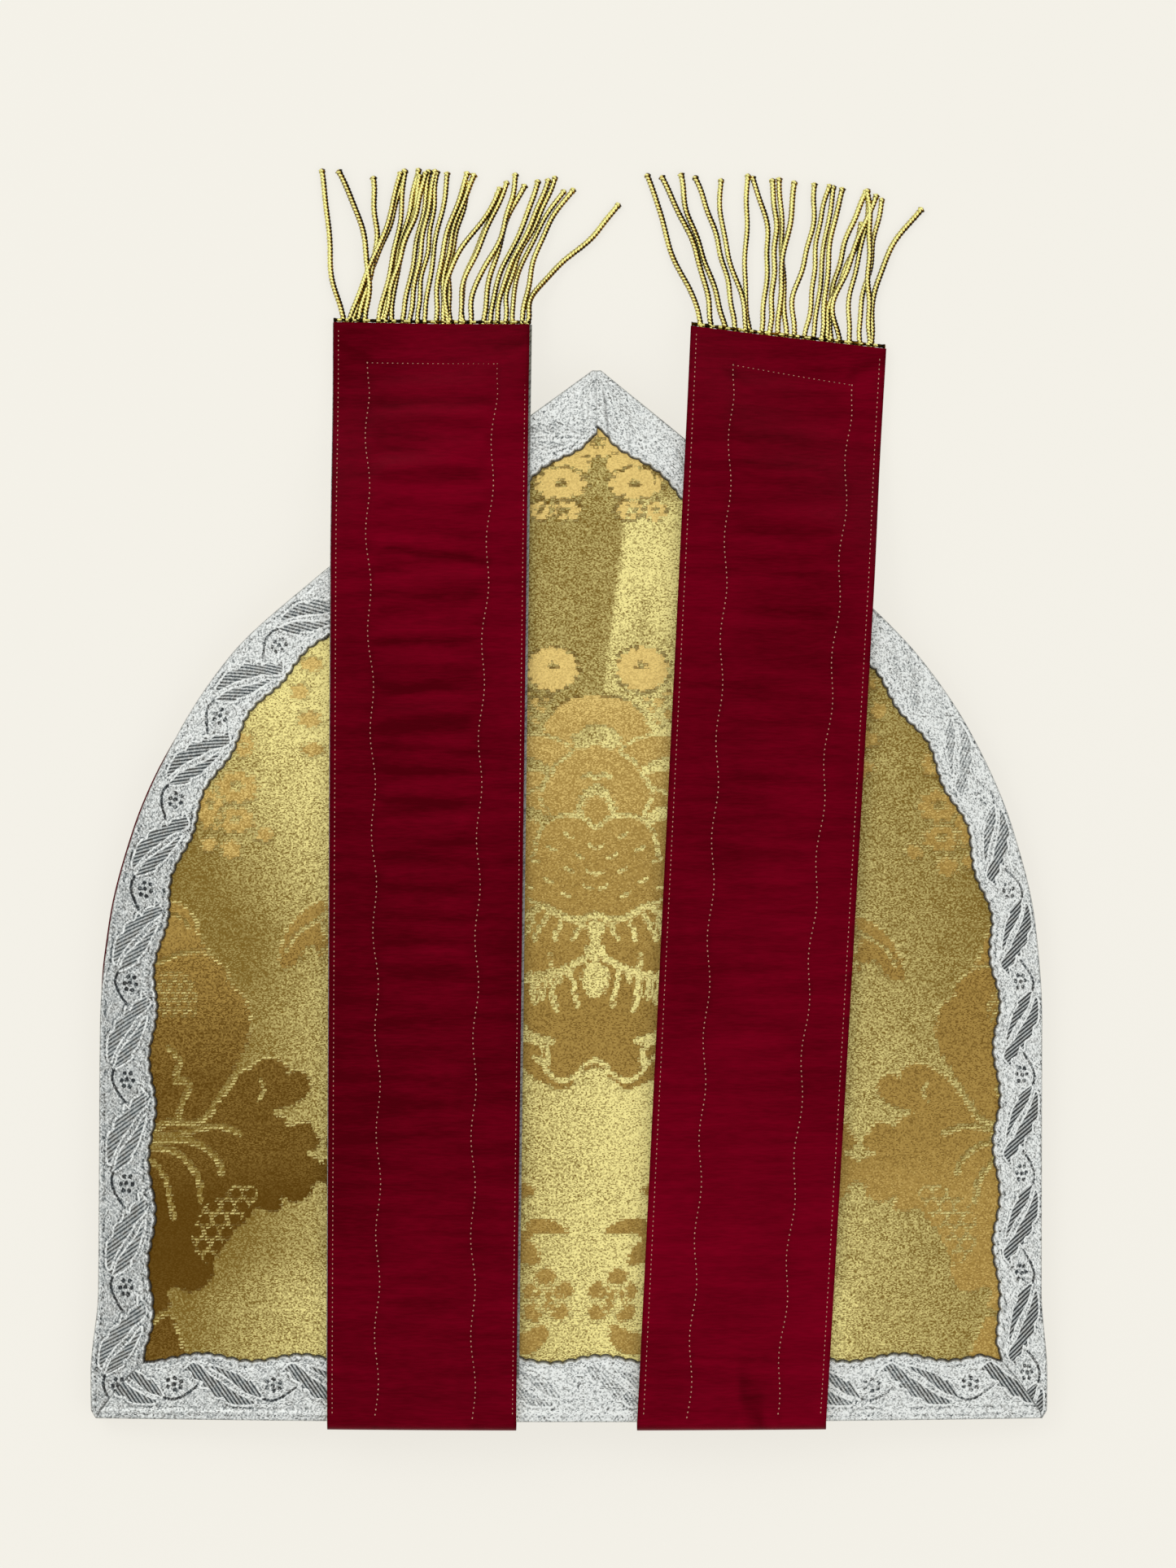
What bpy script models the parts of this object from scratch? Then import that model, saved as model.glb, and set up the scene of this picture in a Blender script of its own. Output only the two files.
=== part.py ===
"""Bishop mitre of gold damask, lying on its front with its two lappets folded up over its back.

Metres, +Z up. The brim's middle is at the origin, the peaks point along +Y and the surface is z = 0.
Every layer of cloth is a sheet with an upper and a lower surface, stacked with a small gap.
"""

import bmesh
import bpy
import numpy as np

# Cloth thicknesses and the gap between sewn layers.
GALLOON_THICK = 0.001
PANEL_THICK = 0.002
LINING_THICK = 0.001
LAPPET_FACE_THICK = 0.001
GAP = 0.0003

# Layers of the mitre at its side seams, from the surface upwards.
FRONT_BORDER_Z = 0.0
FRONT_PANEL_Z = FRONT_BORDER_Z + GALLOON_THICK + GAP
FRONT_LINING_Z = FRONT_PANEL_Z + PANEL_THICK + GAP
BACK_LINING_Z = FRONT_LINING_Z + LINING_THICK + GAP
BACK_PANEL_Z = BACK_LINING_Z + LINING_THICK + GAP
BACK_BORDER_Z = BACK_PANEL_Z + PANEL_THICK + GAP
MITRE_TOP_Z = BACK_BORDER_Z + GALLOON_THICK

# Outline of both panels: height above the brim's edge, half width, and how far the middle leans to +X.
BRIM_Y = -0.010
OUTLINE_COLUMNS = ("height", "half_width", "lean")
OUTLINE = (
    (0.0000, 0.1486, -0.0005),
    (0.0030, 0.1502, -0.0005),
    (0.0140, 0.1503, -0.0005),
    (0.0400, 0.1482, -0.0002),
    (0.1250, 0.1480, 0.0002),
    (0.1550, 0.1454, 0.0007),
    (0.1850, 0.1380, 0.0010),
    (0.2150, 0.1246, 0.0013),
    (0.2400, 0.1076, 0.0012),
    (0.2620, 0.0846, 0.0023),
    (0.3000, 0.0388, 0.0060),
    (0.3289, 0.0014, 0.0082),
)
PEAK_HEIGHT = OUTLINE[-1][0]
PEAK_X = OUTLINE[-1][2]

# The back stands away from the front by this much along its middle.
CROWN_AT_BRIM = 0.012
CROWN_AT_PEAK = 0.005
CROWN_HALF_WIDTH = 0.151

# Crown gusset: the height of its fold, the length of the fold's turn, and its edge shown on the left.
FOLD_HEIGHT = 0.125
FOLD_TURN = 0.004
GUSSET_PEEK = 0.0007
GUSSET_PEEK_FROM = 0.125
GUSSET_PEEK_TO = 0.222
GUSSET_PEEK_FADE = 0.020
LINING_INSET = 0.0015

# Galloon border: width along each side, and the waves of its inner edge.
BORDER_WIDTH = {"left": 0.0166, "right": 0.0142, "bottom": 0.0195}
WAVE_REPEAT = 0.0312
WAVE_DEPTH = 0.0012
WAVE_ROWS = {"front": 2, "back": 5}
MITRE_GAP = 0.00045

# Lappets: edges at the brim and at the far end, and the height of the far end's two corners.
LAPPET_COLUMNS = ("brim_left", "brim_right", "end_left", "end_right", "corner_left_y", "corner_right_y")
LAPPETS = {
    "left": (-0.0763, -0.0162, -0.0750, -0.0121, 0.3349, 0.3336),
    "right": (0.0208, 0.0799, 0.0378, 0.0995, 0.3334, 0.3265),
}
TAB_LENGTH = 0.012
LAPPET_WIDTH = 0.0615
LAPPET_GALLOON_WIDTH = 0.0166
RISE_FROM = -0.008
RISE_TO = 0.004
RISE = GALLOON_THICK + GAP
SHOULDER_HEIGHT = 0.200
DROP_START = 0.002
DROP_LENGTH = 0.058
LAPPET_REST_Z = 0.0005
LINING_EDGE_INSET = 0.0006

# Fringe: a heading along the lappet's end, then locks that fall to the surface.
HEADING_LENGTH = 0.0012
HEADING_HEIGHT = 0.0030
LOCK_THICK = 0.0022
LOCK_FALL = 0.55
LOCK_LOW_Z = 0.0002
LOCK_SECTIONS = 6
LOCK_COLUMNS = ("root_x", "mid_x", "tip_x", "tip_y", "root_width", "mid_width", "tip_width")
LOCKS = {
    "left": (
        (-0.0712, -0.0762, -0.0788, 0.3836, 0.0024, 0.0022, 0.0022),
        (-0.0671, -0.0645, -0.0674, 0.3820, 0.0046, 0.0046, 0.0050),
        (-0.0592, -0.0548, -0.0501, 0.3834, 0.0060, 0.0064, 0.0070),
        (-0.0496, -0.0460, -0.0422, 0.3834, 0.0076, 0.0068, 0.0056),
        (-0.0404, -0.0379, -0.0314, 0.3820, 0.0062, 0.0048, 0.0044),
        (-0.0332, -0.0295, -0.0209, 0.3791, 0.0050, 0.0046, 0.0050),
        (-0.0259, -0.0205, -0.0126, 0.3798, 0.0056, 0.0056, 0.0058),
        (-0.0193, -0.0139, -0.0044, 0.3787, 0.0044, 0.0048, 0.0048),
        (-0.0153, -0.0090, 0.0010, 0.3773, 0.0020, 0.0022, 0.0022),
        (-0.0128, 0.0010, 0.0153, 0.3726, 0.0020, 0.0024, 0.0024),
    ),
    "right": (
        (0.0413, 0.0340, 0.0237, 0.3821, 0.0024, 0.0024, 0.0024),
        (0.0467, 0.0415, 0.0317, 0.3816, 0.0060, 0.0046, 0.0056),
        (0.0534, 0.0490, 0.0431, 0.3809, 0.0050, 0.0048, 0.0056),
        (0.0588, 0.0580, 0.0566, 0.3814, 0.0044, 0.0056, 0.0034),
        (0.0650, 0.0650, 0.0655, 0.3805, 0.0064, 0.0056, 0.0052),
        (0.0712, 0.0722, 0.0739, 0.3795, 0.0036, 0.0040, 0.0040),
        (0.0773, 0.0793, 0.0837, 0.3782, 0.0064, 0.0060, 0.0058),
        (0.0838, 0.0866, 0.0922, 0.3766, 0.0048, 0.0048, 0.0036),
        (0.0895, 0.0925, 0.0976, 0.3751, 0.0050, 0.0040, 0.0034),
        (0.0943, 0.0995, 0.1109, 0.3712, 0.0024, 0.0024, 0.0024),
    ),
}

# Grid counts: rows up the mitre and columns across it.
SIDE_HEIGHTS = np.concatenate(
    [[0.0, 0.003, 0.014], np.linspace(0.029, 0.299, 16), [0.315, PEAK_HEIGHT]]
)
PANEL_COLUMNS = 18
GUSSET_COLUMNS = 14
GUSSET_ROWS = 9
TURN_ROWS = 5
LINING_ROWS = 8
ARC_ROWS = 3
NEAR_ROWS = 4
MIDDLE_ROWS = 12
FALL_ROWS_FROM = 0.262
FALL_ROWS = 9

GOLD_DAMASK = ((0.66, 0.55, 0.25), 0.45, 0.35)
CRIMSON_SATIN = ((0.155, 0.002, 0.010), 0.55, 0.0)
SILVER_GALLOON = ((0.62, 0.63, 0.60), 0.45, 0.35)
GOLD_BULLION = ((0.75, 0.58, 0.20), 0.35, 0.70)


def column(table, columns, name):
    """One named column of a table."""
    return np.array([row[columns.index(name)] for row in table])


def smooth(t):
    """Ease from 0 to 1 with level ends."""
    t = np.clip(t, 0.0, 1.0)
    return t * t * (3 - 2 * t)


def curve_through(knots, values, at):
    """Cubic through the knots that never overshoots them."""
    steps = np.diff(knots)
    slopes = np.diff(values) / steps
    product = slopes[1:] * slopes[:-1]
    inner = np.where(product > 0, 2 * product / np.where(product > 0, slopes[1:] + slopes[:-1], 1), 0)
    tangents = np.concatenate([slopes[:1], inner, slopes[-1:]])
    k = np.clip(np.searchsorted(knots, at, side="right") - 1, 0, len(steps) - 1)
    t = (at - knots[k]) / steps[k]
    start = (1 + 2 * t) * (1 - t) ** 2 * values[k] + t * (1 - t) ** 2 * steps[k] * tangents[k]
    end = t * t * (3 - 2 * t) * values[k + 1] - t * t * (1 - t) * steps[k] * tangents[k + 1]
    return start + end


def half_width(height):
    """Half width of the panels at a height above the brim's edge."""
    knots = column(OUTLINE, OUTLINE_COLUMNS, "height")
    return curve_through(knots, column(OUTLINE, OUTLINE_COLUMNS, "half_width"), height)


def lean(height):
    """X of the panels' middle at a height above the brim's edge."""
    knots = column(OUTLINE, OUTLINE_COLUMNS, "height")
    return curve_through(knots, column(OUTLINE, OUTLINE_COLUMNS, "lean"), height)


def crown(x, y):
    """How far the back is lifted off its side seams."""
    depth = CROWN_AT_BRIM + (CROWN_AT_PEAK - CROWN_AT_BRIM) * smooth((y - BRIM_Y) / PEAK_HEIGHT)
    return depth * np.clip(1 - (x / CROWN_HALF_WIDTH) ** 2, 0, 1)


def outline_top_y(x):
    """Y of the outline's upper edge above a point x."""
    heights = np.linspace(SHOULDER_HEIGHT, PEAK_HEIGHT, 60)
    left = lean(heights) - half_width(heights)
    right = lean(heights) + half_width(heights)
    xs = np.concatenate([left, right[::-1]])
    ys = np.concatenate([heights, heights[::-1]]) + BRIM_Y
    return np.interp(x, xs, ys)


def cloth(name, finish):
    """A material of the given base colour, roughness and metallic value."""
    colour, roughness, metallic = finish
    material = bpy.data.materials.new(name)
    material.use_nodes = True
    shader = material.node_tree.nodes["Principled BSDF"]
    shader.inputs["Base Color"].default_value = (*colour, 1.0)
    shader.inputs["Roughness"].default_value = roughness
    shader.inputs["Metallic"].default_value = metallic
    material.diffuse_color = (*colour, 1.0)
    return material


def object_from(name, form, finish):
    """Turn a bmesh into a named object with a material of its own."""
    bmesh.ops.recalc_face_normals(form, faces=form.faces)
    mesh = bpy.data.meshes.new(name)
    form.to_mesh(mesh)
    form.free()
    mesh.materials.append(cloth(name, finish))
    sheet = bpy.data.objects.new(name, mesh)
    bpy.context.scene.collection.objects.link(sheet)
    return sheet


def sheet_object(name, upper, lower, finish, cells=None):
    """A closed sheet between two grids of points, or between the chosen cells of them.

    Both surfaces split their cells along the same diagonal, so sheets stacked on one grid keep their gap.
    """
    rows, columns = upper.shape[:2]
    if cells is None:
        cells = np.ones((rows - 1, columns - 1), bool)
    form = bmesh.new()
    corners = {}

    def vertex(side, r, c):
        if (side, r, c) not in corners:
            corners[side, r, c] = form.verts.new((upper, lower)[side][r, c])
        return corners[side, r, c]

    padded = np.pad(cells, 1)
    for r, c in np.argwhere(cells):
        ring = ((r, c), (r, c + 1), (r + 1, c + 1), (r + 1, c))
        for half in (ring[:3], (ring[0], ring[2], ring[3])):
            form.faces.new([vertex(0, *p) for p in half])
            form.faces.new([vertex(1, *p) for p in reversed(half)])
        neighbours = (padded[r, c + 1], padded[r + 1, c + 2], padded[r + 2, c + 1], padded[r + 1, c])
        for k, inside in enumerate(neighbours):
            if not inside:
                a, b = ring[k], ring[(k + 1) % 4]
                form.faces.new([vertex(0, *b), vertex(0, *a), vertex(1, *a), vertex(1, *b)])
    return object_from(name, form, finish)


def lifted(x, y, z):
    """A grid of points from three arrays."""
    return np.stack(np.broadcast_arrays(x, y, z), axis=-1)


def panel(name, heights, columns, bottom_z, thick, crowned, finish, inset=0.0):
    """A damask panel or a lining: a sheet across the outline between the given heights."""
    across = np.linspace(-1, 1, columns + 1)[None, :]
    height = heights[:, None]
    x = lean(height) + across * (half_width(height) - inset)
    y = height + BRIM_Y
    rise = crown(x, y) if crowned else 0.0
    upper = lifted(x, y, bottom_z + thick + rise)
    lower = lifted(x, y, bottom_z + rise)
    return sheet_object(name, upper, lower, finish)


def add_panels():
    """Front and back panel, and the two linings of the head opening."""
    panel("front_panel", SIDE_HEIGHTS, 1, FRONT_PANEL_Z, PANEL_THICK, False, GOLD_DAMASK)
    panel("back_panel", SIDE_HEIGHTS, PANEL_COLUMNS, BACK_PANEL_Z, PANEL_THICK, True, GOLD_DAMASK)
    heights = np.linspace(LINING_INSET, FOLD_HEIGHT - FOLD_TURN - GAP, LINING_ROWS)
    panel("front_lining", heights, 1, FRONT_LINING_Z, LINING_THICK, False, CRIMSON_SATIN, LINING_INSET)
    panel("back_lining", heights, GUSSET_COLUMNS, BACK_LINING_Z, LINING_THICK, True, CRIMSON_SATIN,
          LINING_INSET)


def add_gusset():
    """The cloth between the horns: down the front, round the fold and up the back, in one sheet."""
    climb = np.linspace(FOLD_HEIGHT, PEAK_HEIGHT, GUSSET_ROWS)
    angle = np.linspace(-np.pi / 2, -3 * np.pi / 2, TURN_ROWS + 2)[1:-1]
    turn = np.full(TURN_ROWS, FOLD_HEIGHT)
    height = np.concatenate([climb[::-1], turn, climb])[:, None]
    back = np.concatenate([np.zeros(GUSSET_ROWS), (np.sin(angle) + 1) / 2, np.ones(GUSSET_ROWS)])[:, None]
    forward = np.concatenate([np.zeros(GUSSET_ROWS), np.cos(angle), np.zeros(GUSSET_ROWS)])[:, None]
    across = np.linspace(-1, 1, GUSSET_COLUMNS + 1)[None, :]
    x = lean(height) + across * half_width(height)
    starts = smooth((height - GUSSET_PEEK_FROM) / GUSSET_PEEK_FADE)
    shown = starts * smooth((GUSSET_PEEK_TO - height) / GUSSET_PEEK_FADE)
    x = x - GUSSET_PEEK * shown * (across == -1)
    y = height + BRIM_Y
    lift = crown(x, y)
    low, high = FRONT_LINING_Z, BACK_LINING_Z + LINING_THICK + lift
    outer = lifted(x, y + FOLD_TURN * forward, low + (high - low) * back)
    low, high = low + LINING_THICK, high - LINING_THICK
    inner = lifted(x, y + (FOLD_TURN - LINING_THICK) * forward, low + (high - low) * back)
    return sheet_object("crown_gusset", outer, inner, CRIMSON_SATIN)


def side_curves(side, width):
    """Outer and inner edge of one side's galloon, from the brim's corner to the peak."""
    sign = -1 if side == "left" else 1
    heights = np.linspace(0.0, PEAK_HEIGHT, 600)
    outer = np.stack([lean(heights) + sign * half_width(heights), heights + BRIM_Y], axis=1)
    run = np.concatenate([[0], np.cumsum(np.linalg.norm(np.diff(outer, axis=0), axis=1))])
    tangent = np.gradient(outer, run, axis=0)
    tangent /= np.linalg.norm(tangent, axis=1)[:, None]
    inward = np.stack([-sign * tangent[:, 1], sign * tangent[:, 0]], axis=1)
    depth = width + WAVE_DEPTH * np.cos(2 * np.pi * run / WAVE_REPEAT)
    inner = outer + inward * depth[:, None]
    kept = (inner[:, 1] >= BRIM_Y + BORDER_WIDTH["bottom"]) & (sign * (inner[:, 0] - PEAK_X) > GAP / 2)
    inner = inner[kept]
    inner[-1, 0] = PEAK_X + sign * GAP / 2
    outer[-1, 0] = PEAK_X + sign * GAP / 2
    return outer, inner


def evenly(points, count):
    """A curve of points resampled at even steps along its length."""
    run = np.concatenate([[0], np.cumsum(np.linalg.norm(np.diff(points, axis=0), axis=1))])
    steps = np.linspace(0, run[-1], count)
    return np.stack([np.interp(steps, run, points[:, k]) for k in range(2)], axis=1)


def add_border(horn, side, bottom_z):
    """One strip of galloon along the left, right or bottom edge of a horn."""
    if side == "bottom":
        ends = [side_curves(s, BORDER_WIDTH[s]) for s in ("left", "right")]
        outer = np.stack([ends[0][0][0], ends[1][0][0]])
        xs = np.linspace(ends[0][1][0, 0], ends[1][1][0, 0], 400)
        ys = BRIM_Y + BORDER_WIDTH["bottom"] - WAVE_DEPTH * (1 - np.cos(2 * np.pi * xs / WAVE_REPEAT)) / 2
        inner = np.stack([xs, ys], axis=1)
    else:
        outer, inner = side_curves(side, BORDER_WIDTH[side])
        outer[0, 1] += MITRE_GAP
        inner[0, 1] += MITRE_GAP
    length = np.linalg.norm(np.diff(outer, axis=0), axis=1).sum()
    rows = round(length / WAVE_REPEAT) * WAVE_ROWS[horn]
    outer, inner = evenly(outer, rows), evenly(inner, rows)
    across = np.linspace(0, 1, 3)[None, :, None]
    plan = outer[:, None, :] * (1 - across) + inner[:, None, :] * across
    rise = crown(plan[..., 0], plan[..., 1]) if horn == "back" else 0.0
    upper = lifted(plan[..., 0], plan[..., 1], bottom_z + GALLOON_THICK + rise)
    lower = lifted(plan[..., 0], plan[..., 1], bottom_z + rise)
    return sheet_object(f"{horn}_border_{side}", upper, lower, SILVER_GALLOON)


def lappet_edges(side):
    """The lappet's row of the table, by column name."""
    return dict(zip(LAPPET_COLUMNS, LAPPETS[side]))


def lappet_x(side, across, along):
    """X across a lappet, 0 to 1 from its left edge, and 0 to 1 from the brim to its end."""
    at = lappet_edges(side)
    left = at["brim_left"] + (at["end_left"] - at["brim_left"]) * along
    right = at["brim_right"] + (at["end_right"] - at["brim_right"]) * along
    return left + (right - left) * across


def lappet_end_y(side, across):
    """Y of the lappet's end edge."""
    at = lappet_edges(side)
    return at["corner_left_y"] + (at["corner_right_y"] - at["corner_left_y"]) * across


def lappet_base_z(x, y):
    """Height that the lappet's layers stack on: over the back, then falling to the surface past it."""
    over = MITRE_TOP_Z + crown(x, y)
    past = smooth((y - outline_top_y(x) - DROP_START) / DROP_LENGTH)
    return over + (LAPPET_REST_Z - over) * past


def lappet_columns():
    """Places across a lappet, with columns at the inner edges of its galloon."""
    edge = LAPPET_GALLOON_WIDTH / LAPPET_WIDTH
    return np.array([0, edge / 2, edge, 0.5, 1 - edge, 1 - edge / 2, 1])[None, :]


def lappet_rows():
    """Places along a lappet's upper run, 0 at the brim and 1 at its end, closer where it falls."""
    length = LAPPETS["left"][LAPPET_COLUMNS.index("corner_left_y")] - BRIM_Y
    near = np.linspace(0, RISE_TO - BRIM_Y, NEAR_ROWS) / length
    middle = np.linspace(near[-1], FALL_ROWS_FROM / length, MIDDLE_ROWS)[1:-1]
    end = 1 - LAPPET_GALLOON_WIDTH / length
    fall = np.linspace(FALL_ROWS_FROM / length, end, FALL_ROWS)
    return np.concatenate([near, middle, fall, [(1 + end) / 2, 1]])[:, None]


def lappet_layer(side, offset, inset=0.0):
    """One surface of a lappet at a distance from the brim's stack, from its tab round the brim to its end."""
    across = lappet_columns()
    along = lappet_rows()
    x_top = lappet_x(side, across, along)
    y_top = BRIM_Y + (lappet_end_y(side, across) - BRIM_Y) * along
    lift = RISE * smooth((y_top - RISE_FROM) / (RISE_TO - RISE_FROM))
    z_top = lappet_base_z(x_top, y_top) + offset + lift
    angle = np.linspace(0, np.pi / 2, ARC_ROWS)[:, None]
    x_turn = np.broadcast_to(lappet_x(side, across, 0.0), (ARC_ROWS, across.size))
    y_turn = BRIM_Y - offset * np.cos(angle)
    above = crown(x_turn, BRIM_Y)
    upper_turn = lifted(x_turn, y_turn, MITRE_TOP_Z + above + offset * np.sin(angle))[:-1]
    lower_turn = lifted(x_turn, y_turn, BACK_LINING_Z + above - offset * np.sin(angle))[::-1]
    tab_y = BRIM_Y + TAB_LENGTH
    tab = lifted(x_turn[:1], tab_y, BACK_LINING_Z + crown(x_turn[:1], tab_y) - offset)
    surface = np.concatenate([tab, lower_turn, upper_turn, lifted(x_top, y_top, z_top)])
    surface[:, 0, 0] += inset
    surface[:, -1, 0] -= inset
    return surface


def add_lappet(side):
    """A lappet's damask face, its crimson lining and the galloon round its face."""
    face = lappet_layer(side, GAP)
    face_back = lappet_layer(side, GAP + LAPPET_FACE_THICK)
    sheet_object(f"lappet_{side}_face", face_back, face, GOLD_DAMASK)
    offset = GAP + LAPPET_FACE_THICK + GAP
    lining = lappet_layer(side, offset, LINING_EDGE_INSET)
    lining_out = lappet_layer(side, offset + LINING_THICK, LINING_EDGE_INSET)
    sheet_object(f"lappet_{side}_lining", lining_out, lining, CRIMSON_SATIN)
    flat_from = face.shape[0] - lappet_rows().size + NEAR_ROWS - 1
    lower = face[flat_from:] - np.array([0, 0, GALLOON_THICK + GAP])
    cells = np.ones((lower.shape[0] - 1, lower.shape[1] - 1), bool)
    cells[:-2, 2:-2] = False
    upper = lower + np.array([0, 0, GALLOON_THICK])
    sheet_object(f"lappet_{side}_border", upper, lower, SILVER_GALLOON, cells)


def lock_sections(row, root_top, root_low, root_y):
    """Left-top, right-top, right-bottom and left-bottom corners of a lock at each of its sections."""
    at = dict(zip(LOCK_COLUMNS, row))
    t = np.linspace(0, 1, LOCK_SECTIONS)[1:]
    weights = np.stack([2 * (t - 0.5) * (t - 1), 4 * t * (1 - t), 2 * t * (t - 0.5)])
    centre = weights.T @ np.array([at["root_x"], at["mid_x"], at["tip_x"]])
    width = weights.T @ np.array([at["root_width"], at["mid_width"], at["tip_width"]])
    y = root_y + (at["tip_y"] - root_y) * t
    fall = smooth(t / LOCK_FALL)
    low = root_low + (LOCK_LOW_Z - root_low) * fall
    top = low + (root_top - root_low) + (LOCK_THICK - (root_top - root_low)) * fall
    left, right = centre - width / 2, centre + width / 2
    return [
        ((a, v, h), (b, v, h), (b, v, g), (a, v, g))
        for a, b, v, h, g in zip(left, right, y, top, low)
    ]


def add_fringe(side):
    """Bullion fringe: a heading along the lappet's end with every lock grown out of its front."""
    at = lappet_edges(side)
    form = bmesh.new()
    edges = [(row[0] - row[4] / 2, row[0] + row[4] / 2) for row in LOCKS[side]]
    stops = sorted([at["end_left"], at["end_right"], *[x for pair in edges for x in pair]])
    stations = []
    for x in stops:
        y = lappet_end_y(side, (x - at["end_left"]) / (at["end_right"] - at["end_left"])) + GAP
        z = lappet_base_z(x, y) + GAP
        corners = ((y, z), (y, z + HEADING_HEIGHT), (y + HEADING_LENGTH, z + HEADING_HEIGHT),
                   (y + HEADING_LENGTH, z))
        stations.append([form.verts.new((x, v, h)) for v, h in corners])
    roots = {left: row for (left, _), row in zip(edges, LOCKS[side])}
    for near, far, x in zip(stations, stations[1:], stops):
        for k in (0, 1, 3):
            form.faces.new([near[k], near[(k + 1) % 4], far[(k + 1) % 4], far[k]])
        last = [near[2], far[2], far[3], near[3]]
        if x in roots:
            top, low, y = near[2].co.z, near[3].co.z, (near[2].co.y + far[2].co.y) / 2
            for section in lock_sections(roots[x], top, low, y):
                ring = [form.verts.new(p) for p in section]
                for k in range(4):
                    form.faces.new([last[k], last[(k + 1) % 4], ring[(k + 1) % 4], ring[k]])
                last = ring
        form.faces.new(last)
    form.faces.new(stations[0])
    form.faces.new(stations[-1])
    return object_from(f"lappet_{side}_fringe", form, GOLD_BULLION)


def main():
    for old in list(bpy.data.objects):
        bpy.data.objects.remove(old, do_unlink=True)
    add_panels()
    add_gusset()
    for side in BORDER_WIDTH:
        add_border("front", side, FRONT_BORDER_Z)
        add_border("back", side, BACK_BORDER_Z)
    for side in LAPPETS:
        add_lappet(side)
        add_fringe(side)


main()
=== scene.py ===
"""Looks of a gold damask bishop mitre that lies on its front, with its lappets folded up over its back.

Metres, +Z up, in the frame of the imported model. Patterns are charted in millimetres.
"""

import math

import bpy
import numpy as np
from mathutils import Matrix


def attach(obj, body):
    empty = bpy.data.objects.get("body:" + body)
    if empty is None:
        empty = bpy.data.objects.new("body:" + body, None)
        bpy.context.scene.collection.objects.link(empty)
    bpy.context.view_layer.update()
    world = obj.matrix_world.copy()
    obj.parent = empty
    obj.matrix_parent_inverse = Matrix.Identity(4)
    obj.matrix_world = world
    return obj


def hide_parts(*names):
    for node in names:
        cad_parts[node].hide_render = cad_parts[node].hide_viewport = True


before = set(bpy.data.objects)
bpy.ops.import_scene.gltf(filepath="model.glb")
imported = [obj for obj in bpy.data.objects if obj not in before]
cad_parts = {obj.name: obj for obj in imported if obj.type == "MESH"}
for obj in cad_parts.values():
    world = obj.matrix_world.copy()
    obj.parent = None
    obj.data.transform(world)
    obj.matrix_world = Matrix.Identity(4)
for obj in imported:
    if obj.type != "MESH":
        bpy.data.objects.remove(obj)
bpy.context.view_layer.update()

bl_info = {
    "name": "Bishop mitre",
    "version": (1, 0, 0),
    "blender": (4, 5, 0),
    "location": "View3D > Sidebar > Mitre",
    "description": "Builds the cloth, galloon, stitches and fringe of a mitre lying on its front",
    "category": "Add Mesh",
}

MM = 0.001
BODY = "root"

# === Sizes that the frame was built with, in metres ===

GALLOON_THICK = 0.001
PANEL_THICK = 0.002
LINING_THICK = 0.001
FACE_THICK = 0.001
GAP = 0.0003

# Heights of the layers at the side seams, from the surface upwards.
FRONT_BORDER_Z = 0.0
FRONT_PANEL_Z = FRONT_BORDER_Z + GALLOON_THICK + GAP
FRONT_LINING_Z = FRONT_PANEL_Z + PANEL_THICK + GAP
BACK_LINING_Z = FRONT_LINING_Z + LINING_THICK + GAP
BACK_PANEL_Z = BACK_LINING_Z + LINING_THICK + GAP
BACK_BORDER_Z = BACK_PANEL_Z + PANEL_THICK + GAP
MITRE_TOP_Z = BACK_BORDER_Z + GALLOON_THICK

BRIM_Y = -0.010
# Outline of both horns: height above the brim's edge, half width, and how far the middle leans to +X.
OUTLINE = (
    (0, 0.1486, -0.0005), (0.003, 0.1502, -0.0005), (0.014, 0.1503, -0.0005), (0.04, 0.1482, -0.0002),
    (0.125, 0.148, 0.0002), (0.155, 0.1454, 0.0007), (0.185, 0.138, 0.001), (0.215, 0.1246, 0.0013),
    (0.24, 0.1076, 0.0012), (0.262, 0.0846, 0.0023), (0.3, 0.0388, 0.006), (0.3289, 0.0014, 0.0082),
)
OUTLINE_HEIGHTS, OUTLINE_HALVES, OUTLINE_LEANS = np.array(OUTLINE).T
PEAK_HEIGHT = OUTLINE[-1][0]
PEAK_X = OUTLINE[-1][2]
SHOULDER_HEIGHT = 0.200

CROWN_AT_BRIM = 0.012
CROWN_AT_PEAK = 0.005
CROWN_HALF_WIDTH = 0.151

FOLD_HEIGHT = 0.125
FOLD_TURN = 0.004
GUSSET_PEEK = 0.0007
GUSSET_PEEK_FROM = 0.125
GUSSET_PEEK_TO = 0.222
GUSSET_PEEK_FADE = 0.020
LINING_INSET = 0.0015

BORDER_WIDTH = {"left": 0.0166, "right": 0.0142, "bottom": 0.0195}

# X of each lappet's edges at the brim and at its end, and Y of its end's corners.
LAPPETS = {
    "left": {"brim": (-0.0763, -0.0162), "end": (-0.0750, -0.0121), "corner_y": (0.3349, 0.3336)},
    "right": {"brim": (0.0208, 0.0799), "end": (0.0378, 0.0995), "corner_y": (0.3334, 0.3265)},
}
TAB_LENGTH = 0.012
LAPPET_GALLOON_WIDTH = 0.0166
RISE_FROM = -0.008
RISE_TO = 0.004
RISE = GALLOON_THICK + GAP
DROP_START = 0.002
DROP_LENGTH = 0.058
LAPPET_REST_Z = 0.0005
# How far each layer keeps in from a lappet's left and right edges, so that silver shows past the crimson.
LAYER_INSETS = {
    "left": {"lining": (0.0003, 0.0007), "face": (0.0006, 0.0010), "galloon": (0.0, 0.0)},
    "right": {"lining": (0.0, 0.0), "face": (0.0006, 0.0006), "galloon": (0.0004, 0.0003)},
}


def smooth(t):
    """Ease from 0 to 1 with level ends: t squared times (3 - 2t)."""
    t = np.clip(t, 0.0, 1.0)
    return t * t * (3 - 2 * t)


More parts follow.
